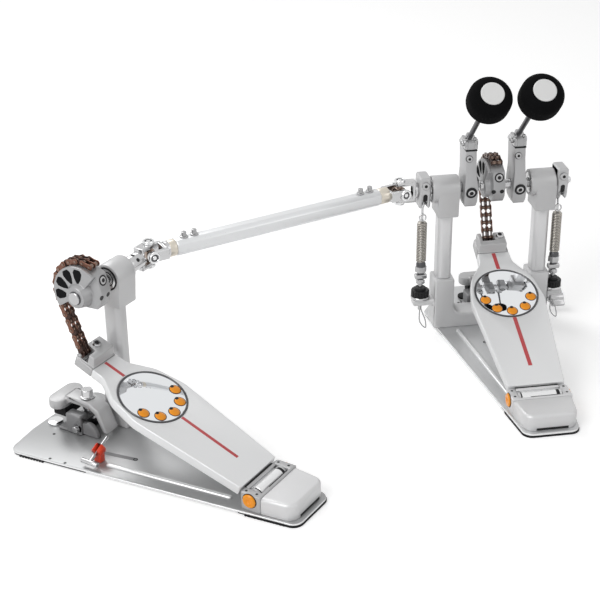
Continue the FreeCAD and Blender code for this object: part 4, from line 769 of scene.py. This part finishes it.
def make_board(pedal, board, body):
    """The board up to the toe cut, and the toe block beyond it."""
    node, edge = f"{pedal}_footboard", sizes().sheet_edge
    cut = board @ Matrix.Translation((0, TOE_CUT, 0))

    def one_side(bm, far):
        reshape(bm, board.inverted(), board, low_toe)
        halve(bm, cut, far)

    rounded(node, "board_silver", edge, shape=lambda bm, home: one_side(bm, False))
    toe = cad_copy(node)
    one_side(toe, True)
    soften(toe, edge)
    keep(f"{pedal}_toe_block", toe, body, "cast_silver", casting(0.74), (), CAD_SHARP)


def make_hinge(pedal, board, body):
    """The bright roller at the hinge, painted shade in the gaps at its ends and beside the knuckle block, and
    the knuckles outside them.
    """
    hinge, bore = board @ lathe_along(RIGHT), 4.3
    roller = [(bore, -21.6), (7.5, -21.6), (7.9, -21.2), (7.9, 19.0), (7.5, 19.4), (bore, 19.4)]
    turned(f"{pedal}_hinge_roller", roller, hinge, 48, body, "board_silver", material("polished_bead"))
    gap, knuckles = bmesh.new(), bmesh.new()
    # Dark pieces in the gaps: painted shade
    block(gap, (-25.8, 25.8), (12.2, 14.8), (2.4, 2.9), board)
    drum(gap, (bore, 7.5), (-23.2, 23.2), hinge, 40)
    keep(f"{pedal}_hinge_gap", gap, body, "black_plastic")
    knuckle = [(bore, 23.2), (7.4, 23.2), (7.7, 23.5), (7.7, 25.6), (7.4, 25.9), (bore, 25.9)]
    for axis in (LEFT, RIGHT):
        lathe(knuckles, knuckle, board @ lathe_along(axis), 48)
    block(knuckles, (-25.8, 25.8), (8.8, 12.4), (2.4, 4.0), board, 0.4, 1)
    keep(f"{pedal}_hinge_knuckles", knuckles, body, "cast_silver", heel_metal(pedal))


def make_disc(pedal, centre, body):
    """The mirror disc in its dark ring, with five grips round its lower half."""
    disc = [(0, 6.1), (36.6, 6.1), (37.3, 5.8), (37.3, 4.2), (0, 4.2)]
    turned(f"{pedal}_mirror_disc", disc, centre, 96, body, "mirror_disc", None, (f"{pedal}_traction_disc",))
    ring = [(37.3, 4.2), (37.3, 6.1), (37.9, 6.6), (39.0, 6.6), (39.4, 6.1), (39.4, 4.2)]
    turned(f"{pedal}_disc_ring", ring, centre, 96, body, "dark_steel")
    stud = [(0, 8.0), (2.6, 7.9), (4.6, 7.4), (5.9, 6.8), (6.4, 6.1), (6.4, 5.5), (0, 5.5)]
    studs, notches = bmesh.new(), bmesh.new()
    grip_circle = 30
    for i in range(5):
        turn = math.radians(36.0 * (i - 2))
        spot = centre @ Matrix.Translation((grip_circle * math.sin(turn), -grip_circle * math.cos(turn), 0))
        lathe(studs, stud, spot, 32)
        lathe(notches, [(0, 8.1), (1.7, 8.0), (2.1, 7.6), (2.1, 6.2), (0, 6.2)],
              spot @ Matrix.Translation((0, 4.6, 0)), 20)
        lathe(notches, [(6.2, 5.6), (6.2, 6.45), (6.9, 6.35), (7.0, 5.6)], spot, 32)
    keep(f"{pedal}_grip_studs", studs, body, "orange_plastic", None, (f"{pedal}_grips",))
    keep(f"{pedal}_grip_notches", notches, body, "black_plastic")


class PEDAL_OT_footboards(bpy.types.Operator):
    """Footboards with their stripes, mirror discs and grips"""
    bl_idname = "pedal.footboards"
    bl_label = "Footboards"
    bl_options = {"REGISTER", "UNDO"}

    def execute(self, context):
        for pedal, place in PLACES.items():
            board, body = place @ BOARD, f"{pedal}_board"
            make_board(pedal, board, body)
            make_hinge(pedal, board, body)
            stripes = bmesh.new()
            half = {"main": 2.4, "slave": 1.95}[pedal]
            for span in ((43.0, 119.2), (200.2, 227.6)):
                block(stripes, (-half, half), span, (5.8, 6.2), board, 0.15)
            keep(f"{pedal}_stripes", stripes, body, "red_plastic")
            make_disc(pedal, board @ Matrix.Translation((0, 159.7, 0)), body)
            bolt, socket = bmesh.new(), bmesh.new()
            spot = ({"main": 10.8, "slave": 3.0}[pedal], 246, TOE_TOP)
            socket_screw(bolt, board @ Matrix.Translation(spot), 5.0, 3.2, 0.55, socket)
            keep(f"{pedal}_toe_bolt", bolt, body, "bright_steel", polished(0.5))
            keep(f"{pedal}_toe_socket", socket, body, "black_plastic")
        return {"FINISHED"}


class PEDAL_OT_cams(bpy.types.Operator):
    """Chain cams with their dark petals and set screws"""
    bl_idname = "pedal.cams"
    bl_label = "Chain cams"
    bl_options = {"REGISTER", "UNDO"}

    def execute(self, context):
        half = [(14.4, 0.9), (20.4, 4.3), (26.8, 5.9), (31.0, 3.7)]
        petal = soft_outline(half + [(r, -s) for r, s in reversed(half)], 1.6)
        for pedal, place in PLACES.items():
            body, mid, shaft = DRIVES[pedal], CHAIN_X[pedal], place @ SHAFT
            rounded(f"{pedal}_drive_cam", "hub_grey", 0.0006, material("milled_cam"),
                    shape=mover(lambda spot, mid=mid: slim_cam(spot, mid)))
            petals, holes, screw = bmesh.new(), bmesh.new(), bmesh.new()
            for i in range(4):
                turn = Matrix.Rotation(math.radians(-7.0 + 33.0 * i), 4, "Z")
                slab(petals, petal, mid - 12.58, mid - 9.0, shaft @ UPRIGHT @ turn)
            keep(f"{pedal}_cam_petals", petals, body, "black_plastic", material("petal_dark"))
            for x in (-5.4, 4.9):
                spot = lathe_along((0, -0.986, -0.164), (mid + x, -26.2, 1.5))
                drum(holes, (0, 2.8), (0.06, -0.6), shaft @ spot)
            face = shaft @ lathe_along((0, -0.967, 0.254), (mid + 1.5, -23.6, 18.8))
            drum(holes, (4.2, 5.9), (0.1, -0.6), face, 28)
            socket_screw(screw, face, 4.2, 0.6, 0.55, holes)
            keep(f"{pedal}_cam_holes", holes, body, "black_plastic")
            keep(f"{pedal}_cam_screw", screw, body, "bright_steel", polished(0.4))
        end = PLACES["slave"] @ SHAFT @ lathe_along(LEFT)
        turned("slave_cam_boss", [(0, 33.5), (6.6, 33.5), (7.0, 33.1), (7.0, 30.9), (0, 30.9)], end, 40,
               "slave_drive", "bright_steel", polished(0.45))
        turned("slave_cam_groove", [(7.0, 31.15), (7.8, 31.15), (7.8, 30.8), (7.0, 30.8)], end, 40,
               "slave_drive", "dark_steel")
        return {"FINISHED"}


def chain_pins():
    """Pin centres in the Y-Z plane about the shaft, on the cam and then down to the toe."""
    step = 2 * math.asin(PITCH / 2 / PIN_RADIUS)
    turns = [LEAVE_ANGLE + i * step for i in range(10)]
    arc = [Vector((PIN_RADIUS * math.cos(turn), PIN_RADIUS * math.sin(turn))) for turn in turns]
    down = Vector((math.sin(LEAVE_ANGLE), -math.cos(LEAVE_ANGLE)))
    drop = [arc[0] + i * PITCH * down for i in range(1, 8)]
    return arc[2:], arc[2::-1] + drop


def make_length(name, seat, pins, body, finish_name, first, last_half):
    """A rigid length of chain, whose first link is an outer one for 0 and an inner one for 1."""
    plates, cores, rollers = bmesh.new(), bmesh.new(), bmesh.new()
    for i, (a, b) in enumerate(zip(pins, pins[1:])):
        along = b - a
        turn = Matrix.Rotation(math.atan2(along.y, along.x), 4, "Z")
        lay = seat @ Matrix.Translation((a.x, a.y, 0)) @ turn
        outer = i % 2 == first
        half = last_half if i == len(pins) - 2 else LINK_HALF
        for x0, x1 in OUTER_PLATES if outer else INNER_PLATES:
            slab(plates if outer else cores, oblong(along.length, half), x0, x1, lay, 0.2, 1)
    for pin in pins:
        spot = seat @ Matrix.Translation((pin.x, pin.y, 0))
        for span in ROLLERS:
            drum(rollers, (0, 2.3), span, spot)
        drum(rollers, (0, 1.5), (-7.4, 7.4), spot, 12)
    keep(f"{name}_plates", plates, body, "chain_bronze", material(finish_name), (name,))
    keep(f"{name}_cores", cores, body, "chain_bronze", material("chain_cores"))
    keep(f"{name}_rollers", rollers, body, "bright_steel", material("chain_rollers"))


class PEDAL_OT_chains(bpy.types.Operator):
    """Twin-row roller chains, on the cams and down to the toes"""
    bl_idname = "pedal.chains"
    bl_label = "Chains"
    bl_options = {"REGISTER", "UNDO"}

    def execute(self, context):
        wrap, drop = chain_pins()
        # The main chain's length on the cam is a darker copy of its bronze: painted shade
        wrap_finish = {"main": "dark_chain", "slave": "bronze_chain"}
        for pedal, place in PLACES.items():
            seat = place @ SHAFT @ Matrix.Translation((CHAIN_X[pedal], 0, 0)) @ UPRIGHT
            on_cam, free = f"{pedal}_chain_on_cam", f"{pedal}_chain_drop"
            make_length(on_cam, seat, wrap, DRIVES[pedal], wrap_finish[pedal], 0, LINK_HALF)
            make_length(free, seat, drop, f"{pedal}_chain", "bronze_chain", 1, TOE_LINK_HALF)
        return {"FINISHED"}


def make_beater(side, lean):
    """The rod, the felt head with its rounded rims and the bare cap on it."""
    body, rim, flat = f"{side}_beater", 12, 14
    rod = [(0, -15), (2.6, -15), (3.2, -14.4), (3.2, 111.4), (2.6, 112), (0, 112)]
    turned(f"{side}_rod_piece", rod, lean, 32, body, "dark_steel", None, (f"{side}_beater_rod",))
    head = [(3.25, 94.0)]
    for height, start in ((106.0, -90), (118.0, 0)):
        for k in range(10):
            a = math.radians(start + 10 * k)
            head.append((flat + rim * math.cos(a), height + rim * math.sin(a)))
    head += [(13.9, 129.2), (0, 129.2)]
    turned(f"{side}_felt_head", head, lean, 72, body, "black_felt", None, (f"{side}_beater_head",))
    cap = [(0, 129.2), (13.8, 129.2), (13.8, 130.9), (13.2, 131.5), (0, 131.5)]
    turned(f"{side}_head_cap", cap, lean, 64, body, "bright_steel", material("white_cap"))


def make_hub_screws(side, x):
    """The two screws in a hub's face, with dark rings round them."""
    body, shaft = f"{side}_drive", MM @ SHAFT
    rings, screws = bmesh.new(), bmesh.new()
    lower = shaft @ lathe_along((0, -0.984, -0.179), (x, -16.6, -2.0))
    lathe(rings, [(4.3, -1), (4.3, 0.5), (7.0, 0.5), (7.2, -1)], lower, 40)
    socket_screw(screws, lower, 4.3, 0.9, 0.58, rings)
    upper = shaft @ lathe_along((0, -0.989, 0.147), (x - 2.5, -9.2, 40.0))
    lathe(rings, [(4.1, -1), (4.1, 0.12), (4.5, 0.12), (4.6, -1)], upper, 28)
    socket_screw(screws, upper, 4.1, 1.8, 0.42, rings)
    keep(f"{side}_hub_rings", rings, body, "black_plastic")
    keep(f"{side}_hub_screws", screws, body, "bright_steel", polished(0.45))


def make_saddle(side, x, lean):
    """The split crown that grips the rod, with its bolts and the rod's collar."""
    body, shaft = f"{side}_drive", MM @ SHAFT
    crown = soft_outline([(-8.0, 50.5), (23.3, 50.5), (23.5, 54.4), (11.7, 63.7), (-6.4, 61.6)], 1.4)
    saddle, sockets = bmesh.new(), bmesh.new()
    for x0, x1 in ((-7.8, -3.7), (3.7, 7.8)):
        slab(saddle, crown, x + x0, x + x1, shaft @ UPRIGHT, 0.9, 1)
    for s in (-1, 1):
        bolt = lathe_along((s, 0, 0), (x + 7.6 * s, 4, 56.5))
        socket_screw(saddle, shaft @ bolt, 4.4, 2.6, 0.5, sockets)
        top = lathe_along((0, -0.2, 0.98), (x + 5.6 * s, -1.0, 61.6))
        socket_screw(saddle, shaft @ top, 2.4, 2.4, 0.5, sockets)
    lathe(saddle, [(3.5, 3.0), (6.0, 3.0), (6.4, 3.6), (6.4, 10.0), (5.6, 11.0), (3.5, 11.0)], lean, 6)
    # A dark block under the crown: painted shade that shows through its split
    block(sockets, (x - 7.3, x + 7.3), (-8.6, 4.0), (49.2, 51.2), shaft, 0.4, 1)
    keep(f"{side}_rod_saddle", saddle, body, "bright_steel", polished(0.4))
    keep(f"{side}_saddle_sockets", sockets, body, "black_plastic")


class PEDAL_OT_beaters(bpy.types.Operator):
    """Beater hubs, rods, felt heads and caps"""
    bl_idname = "pedal.beaters"
    bl_label = "Beaters"
    bl_options = {"REGISTER", "UNDO"}

    def execute(self, context):
        levels = [(-22, 0.80), (-15, 1.0), (4, 1.0), (20, 0.80), (36, 0.79), (63, 0.84)]
        for side, x in HUB_X.items():
            rounded(f"{side}_beater_hub", "hub_grey", 0.0010,
                    shape=lambda bm, home, x=x: taper(bm, levels, x, home))
            tilt = Matrix.Rotation(math.radians(46), 4, "X")
            lean = MM @ SHAFT @ Matrix.Translation((x, 9, 58)) @ tilt
            make_beater(side, lean)
            make_hub_screws(side, x)
            make_saddle(side, x, lean)
        return {"FINISHED"}


def make_rocker(side, x):
    """The rocker with its screw, and painted shade in the slot in its lower end and on the face over it."""
    body, shaft = f"{side}_drive", MM @ SHAFT
    rounded(f"{side}_spring_rocker", "hub_grey", 0.0018, rocker_metal(), segments=1)
    screw, socket = bmesh.new(), bmesh.new()
    face = shaft @ lathe_along((0, -1, 0.05), (x, -13.9, 10.5))
    socket_screw(screw, face, 5.0, 2.2, 0.4, socket)
    # Painted shade: a dark block in the slot and a dark sheet on the face over it
    block(socket, (x - 3.1, x + 3.1), (5.6, 10.4), (-20.6, -10.7), shaft)
    slot_face_shade = shaft @ lathe_along((0, -0.99, -0.141), (x, -12.5, -10.5))
    slab(socket, stadium((0, 2.0), (0, 7.2), 2.7), -1.0, 0.12, slot_face_shade)
    keep(f"{side}_rocker_screw", screw, body, "bright_steel", polished(0.42))
    keep(f"{side}_rocker_socket", socket, body, "black_plastic")


def make_spring(side, at):
    """The hook and the coil between the frame and the drive."""
    spring, hooks = bmesh.new(), bmesh.new()
    make_coil(spring, at)
    lathe(spring, [(0, 150.0), (COIL_RADIUS, 150.0), (COIL_RADIUS, 151.4), (2.0, 153), (0, 153)], at, 24)
    hook = [(0, 0, 152), (0, 0, 171), (0, 2.5, 173.4), (0, 4.3, 176.3), (0, 4.2, 180.4), (0, 1.5, 182.8),
            (0, -2.2, 182.2), (0, -4.3, 178.9), (0, -4.0, 175.5), (0, -2.0, 173.5)]
    wire(hooks, hook, 1.5, at)
    turns = [math.radians(30 * k) for k in range(12)]
    eye = [(4.2 * math.cos(a), -2.2, 158.5 + 4.6 * math.sin(a)) for a in turns]
    wire(hooks, eye, 1.0, at, cyclic=True)
    hook_piece = keep(f"{side}_spring_hook", hooks, None, "bright_steel", polished(0.55))
    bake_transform(hook_piece)
    coil_piece = keep(f"{side}_coil", spring, None, "bright_steel", material("spring_nickel"),
                      (f"{side}_spring",))
    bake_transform(coil_piece)


def make_coil(spring, at):
    """The coil, as a ring of wire carried up and round the spring's axis."""
    turns = sizes().spring_turns
    steps = 20 * turns
    coil = bmesh.new()
    ring = bmesh.ops.create_circle(coil, cap_ends=False, segments=8, radius=COIL_WIRE)
    bmesh.ops.rotate(coil, cent=(0, 0, 0), matrix=Matrix.Rotation(math.pi / 2, 3, "X"), verts=coil.verts)
    bmesh.ops.translate(coil, vec=(COIL_RADIUS, 0, COIL_FOOT), verts=coil.verts)
    bmesh.ops.spin(coil, geom=ring["verts"] + coil.edges[:], cent=(0, 0, 0), axis=(0, 0, 1),
                   dvec=(0, 0, COIL_HEIGHT / steps), angle=2 * math.pi * turns, steps=steps,
                   use_duplicate=False)
    bmesh.ops.holes_fill(coil, edges=[e for e in coil.edges if e.is_boundary])
    bmesh.ops.recalc_face_normals(coil, faces=coil.faces)
    pour(spring, coil, at)


def make_nut(side, at):
    """The knurled nut on its bright washer."""
    teeth = 72
    outline = []
    for k in range(teeth):
        a = 2 * math.pi * k / teeth
        r = 11.5 if k % 4 < 2 else 10.6
        outline.append((r * math.cos(a), r * math.sin(a)))
    nut = bmesh.new()
    slab(nut, outline, 50.0, 58.6, at, 0.8, 1)
    lathe(nut, [(2.6, 58.0), (7.4, 58.0), (7.0, 61.4), (6.4, 62.0), (2.6, 62.0)], at, 32)
    washer = [(2.6, 47.1), (12.0, 47.1), (12.2, 47.6), (12.2, 49.2), (11.6, 50.0), (2.6, 50.0)]
    turned(f"{side}_nut_washer", washer, at, 40, f"{side}_nut", "bright_steel", polished(0.5))
    keep(f"{side}_nut_piece", nut, f"{side}_nut", "black_plastic", None, (f"{side}_tension_nut",))


class PEDAL_OT_springs(bpy.types.Operator):
    """Return springs, rockers, tension rods and knurled nuts"""
    bl_idname = "pedal.springs"
    bl_label = "Return springs"
    bl_options = {"REGISTER", "UNDO"}

    def execute(self, context):
        rods, loops, necks = bmesh.new(), bmesh.new(), bmesh.new()
        loop = [(0, 0, 34), (0, 0, 24), (-0.6, -1, 14), (3.0, -2, 7.0), (8.2, -2, 2.6), (8.6, -2, 6.0),
                (7.4, -2, 15), (3.2, -1, 25), (0.8, 0, 33)]
        rod = [(0, 30), (2.5, 30), (2.5, 66), (3.6, 66.5), (5.6, 68), (5.6, 71), (3.6, 73), (0, 73)]
        for side, x in SPRING_X.items():
            at = MM @ Matrix.Translation((x, 0, 0))
            make_rocker(side, x)
            make_spring(side, at)
            lathe(rods, rod, at, 28)
            block(rods, (-7.8, 7.8), (-4.0, 4.0), (74.0, 80.4), at, 1.8, 3)
            lathe(rods, [(0, 84.0), (7.4, 84.0), (7.4, 90.6), (6.6, 91.4), (0, 91.4)], at, 6)
            lathe(necks, [(0, 72), (2.7, 72), (2.7, 80.6), (4.4, 80.6), (4.4, 84.2), (0, 84.2)], at, 20)
            lathe(necks, [(0, 91.2), (6.1, 91.2), (6.1, 94.6), (4.6, 97.6), (0, 97.6)], at, 24)
            wire(loops, loop, 0.75, at)
            make_nut(side, at)
        keep("tension_rods", rods, "main_frame", "bright_steel", polished(0.42), ("main_spring_rods",))
        keep("rod_loops", loops, "main_frame", "bright_steel", polished(0.35))
        keep("rod_necks", necks, "main_frame", "dark_steel")
        return {"FINISHED"}


def make_cups(name, node, spot, axis):
    """Bearing cups at both ends of a joint pin, riding with the yoke that holds it."""
    cup = [(4.3, 12.4), (6.7, 12.4), (6.9, 13.0), (6.9, 15.2), (6.2, 16.2), (4.9, 16.2), (4.3, 15.6)]
    cups, ends = bmesh.new(), bmesh.new()
    for s in (-1, 1):
        lay = MM @ lathe_along(s * axis, spot)
        lathe(cups, cup, lay, 32)
        lathe(cups, [(0, 12.4), (2.6, 12.4), (2.6, 15.2), (2.1, 15.7), (0, 15.7)], lay, 20)
        drum(ends, (2.6, 4.3), (12.6, 14.6), lay, 28)
    keep(f"{name}_cups", cups, body_of(node), "bright_steel")
    keep(f"{name}_ends", ends, body_of(node), "dark_steel")


class PEDAL_OT_link(bpy.types.Operator):
    """Shafts, universal joints and the telescopic link"""
    bl_idname = "pedal.link"
    bl_label = "Link and shafts"
    bl_options = {"REGISTER", "UNDO"}

    def execute(self, context):
        edge = sizes().small_edge
        for node in ("main_shaft", "left_shaft", "slave_shaft"):
            rounded(node, "bright_steel", edge, polished(0.52))
        turned("right_shaft_end", [(0, 88.5), (4.0, 88.5), (4.0, 95.4), (3.4, 96), (0, 96)],
               MM @ SHAFT @ lathe_along(RIGHT), 24, "right_drive", "bright_steel", polished(0.62))
        for node in ("link_main_rod", "link_slave_rod"):
            rounded(node, "bright_steel", edge, polished(0.55))
        for node in ("main_joint_cross", "slave_joint_cross"):
            rounded(node, "bright_steel", edge, material("tempered_steel"))
        rounded("link_tube", "tube_silver", 0.0012)
        rounded("link_lock_bolts", "bright_steel", edge, polished(0.4))
        upright, level = Vector((0, 0, 1)), Vector((-math.sin(LINK_TURN), math.cos(LINK_TURN), 0))
        make_cups("left_pin", "left_shaft", MAIN_JOINT, upright)
        make_cups("slave_pin", "slave_shaft", SLAVE_JOINT, upright)
        make_cups("link_outer_pin", "link_main_rod", MAIN_JOINT, level)
        make_cups("link_inner_pin", "link_slave_rod", SLAVE_JOINT, level)
        sleeves = (("inner", "link_tube", 23.0, 31.8), ("outer", "link_main_rod", 305.9, 319.0))
        for name, node, x0, x1 in sleeves:
            sleeve = [(8.6, x0), (9.2, x0 - 0.2), (9.8, x0 + 0.6), (9.8, x1 - 0.6), (9.2, x1), (8.6, x1)]
            turned(f"link_{name}_sleeve", sleeve, LINK @ lathe_along(RIGHT), 40, body_of(node),
                   "bright_steel", material("brushed_collar"))
        sockets = bmesh.new()
        for axis in ((0, -0.80, 0.60), (0, -0.05, 0.999)):
            spot = Vector((68.5, 0, SHAFT_Z)) + 9.45 * Vector(axis)
            drum(sockets, (0, 2.3), (0.12, -0.8), PLACES["slave"] @ lathe_along(axis, spot))
        keep("slave_collar_sockets", sockets, "slave_drive", "black_plastic")
        return {"FINISHED"}


class PEDAL_OT_clamps(bpy.types.Operator):
    """Hoop clamps with their jaws, bolts and wing screws"""
    bl_idname = "pedal.clamps"
    bl_label = "Hoop clamps"
    bl_options = {"REGISTER", "UNDO"}

    def execute(self, context):
        for pedal, foot in (("main", "black_rubber"), ("slave", "bright_steel")):
            rounded(f"{pedal}_clamp_base", "cast_silver", 0.0018, material("grey_clamp"), apart={
                "name": "foot", "test": lambda p: p.y > 62, "slot": foot, "edge": 0.0006})
            rounded(f"{pedal}_clamp_jaw", "cast_silver", 0.0022, casting(0.8), apart={
                "name": "pad", "test": lambda p: p.z < 29, "slot": "black_rubber", "edge": 0.0008})
            rounded(f"{pedal}_clamp_bolt", "bright_steel", sizes().small_edge, polished(0.52))
            rounded(f"{pedal}_clamp_screw", "bright_steel", 0.0010, polished(0.45))
        return {"FINISHED"}


class PEDAL_OT_key(bpy.types.Operator):
    """Tuning key and its red clip"""
    bl_idname = "pedal.key"
    bl_label = "Tuning key"
    bl_options = {"REGISTER", "UNDO"}

    def execute(self, context):
        rounded("slave_key_clip", "red_plastic", 0.0009, material("clip_plastic"))
        rounded("slave_tuning_key", "bright_steel", 0.0006, polished(0.52))
        return {"FINISHED"}


class PEDAL_OT_stage(bpy.types.Operator):
    """White floor, soft studio light and the camera"""
    bl_idname = "pedal.stage"
    bl_label = "Stage"
    bl_options = {"REGISTER", "UNDO"}

    def execute(self, context):
        scene = context.scene
        scene.view_settings.view_transform = "Standard"
        self.make_floor(scene)
        self.make_world(scene)
        for name, spot, aim, size, power in (
                ("key_light", (-1.9, -1.5, 1.8), (-0.25, -0.1, 0.1), 1.6, 34.0),
                ("fill_light", (1.5, -1.3, 1.4), (-0.1, 0, 0.1), 1.4, 5.0),
                ("back_light", (-1.1, 1.3, 1.8), (-0.2, 0, 0.1), 1.3, 17.0)):
            lamp = bpy.data.lights.new(name, "AREA")
            lamp.size = size
            lamp.energy = power
            obj = bpy.data.objects.new(name, lamp)
            obj.location = spot
            obj.rotation_euler = (Vector(aim) - Vector(spot)).to_track_quat("-Z", "Y").to_euler()
            scene.collection.objects.link(obj)
        self.make_camera(scene)
        return {"FINISHED"}

    def seen_rays(self, tree):
        """A factor of 1 for the rays that look at the background."""
        path = tree.nodes.new("ShaderNodeLightPath")
        total = path.outputs["Is Camera Ray"]
        for name in ("Is Glossy Ray", "Is Transmission Ray"):
            join = tree.nodes.new("ShaderNodeMath")
            join.operation = "MAXIMUM"
            tree.links.new(total, join.inputs[0])
            tree.links.new(path.outputs[name], join.inputs[1])
            total = join.outputs[0]
        return total

    def make_floor(self, scene):
        bm = bmesh.new()
        bmesh.ops.create_grid(bm, x_segments=1, y_segments=1, size=6.0)
        mesh = bpy.data.meshes.new("floor")
        bm.to_mesh(mesh)
        bm.free()
        floor = bpy.data.objects.new("floor", mesh)
        scene.collection.objects.link(floor)
        floor.location.z = -0.0002
        mat = bpy.data.materials.new("white_floor")
        mat.use_nodes = True
        tree = mat.node_tree
        glow = tree.nodes.new("ShaderNodeMath")
        glow.operation = "MULTIPLY"
        feed(tree, glow, {0: self.seen_rays(tree), 1: 0.42})
        feed(tree, tree.nodes["Principled BSDF"], {
            "Base Color": (0.82, 0.82, 0.82, 1), "Roughness": 0.9, "Emission Color": (1, 1, 1, 1),
            "Emission Strength": glow.outputs[0]})
        mesh.materials.append(mat)

    def make_world(self, scene):
        world = bpy.data.worlds.new("studio")
        scene.world = world
        world.use_nodes = True
        tree = world.node_tree
        light = feed(tree, tree.nodes["Background"], {"Color": (1, 1, 1, 1), "Strength": 0.35})
        white = add_node(tree, "Background", {"Color": (1, 1, 1, 1), "Strength": 1.0})
        mix = add_node(tree, "MixShader", {0: self.seen_rays(tree), 1: light.outputs[0], 2: white.outputs[0]})
        feed(tree, tree.nodes["World Output"], {"Surface": mix.outputs[0]})

    def make_camera(self, scene):
        """The camera that was fitted to the photograph, from its yaw, pitch and roll."""
        yaw, pitch, roll = 0.149, 0.4726, -0.013
        ahead = Vector((math.sin(yaw), math.cos(yaw), 0))
        level = Vector((math.cos(yaw), -math.sin(yaw), 0))
        look = math.cos(pitch) * ahead - math.sin(pitch) * Vector((0, 0, 1))
        rise = math.sin(pitch) * ahead + math.cos(pitch) * Vector((0, 0, 1))
        side = math.cos(roll) * level + math.sin(roll) * rise
        top = math.cos(roll) * rise - math.sin(roll) * level
        turn = Matrix((side, top, -look)).transposed().to_4x4()
        camera = bpy.data.cameras.new("camera")
        camera.lens = 86.52
        camera.sensor_width = 36.0
        obj = bpy.data.objects.new("camera", camera)
        obj.matrix_world = Matrix.Translation((-0.4859, -1.5972, 0.8826)) @ turn
        scene.collection.objects.link(obj)
        scene.camera = obj


OPERATORS = (
    PEDAL_OT_castings, PEDAL_OT_plates, PEDAL_OT_heels, PEDAL_OT_footboards, PEDAL_OT_cams, PEDAL_OT_chains,
    PEDAL_OT_beaters, PEDAL_OT_springs, PEDAL_OT_link, PEDAL_OT_clamps, PEDAL_OT_key, PEDAL_OT_stage)


class PEDAL_PT_panel(bpy.types.Panel):
    bl_idname = "PEDAL_PT_panel"
    bl_label = "Double pedal"
    bl_space_type = "VIEW_3D"
    bl_region_type = "UI"
    bl_category = "Pedal"

    def draw(self, context):
        for name in PedalColours.__annotations__:
            self.layout.prop(context.scene.pedal_colours, name)
        for name in PedalSizes.__annotations__:
            self.layout.prop(context.scene.pedal_sizes, name)
        for kind in OPERATORS:
            self.layout.operator(kind.bl_idname)


CLASSES = (PedalColours, PedalSizes, *OPERATORS, PEDAL_PT_panel)


def register():
    for kind in CLASSES:
        bpy.utils.register_class(kind)
    bpy.types.Scene.pedal_colours = bpy.props.PointerProperty(type=PedalColours)
    bpy.types.Scene.pedal_sizes = bpy.props.PointerProperty(type=PedalSizes)


def unregister():
    del bpy.types.Scene.pedal_colours
    del bpy.types.Scene.pedal_sizes
    for kind in reversed(CLASSES):
        bpy.utils.unregister_class(kind)


def main():
    register()
    for kind in OPERATORS:
        group, name = kind.bl_idname.split(".")
        getattr(getattr(bpy.ops, group), name)()


if __name__ == "__main__":
    main()
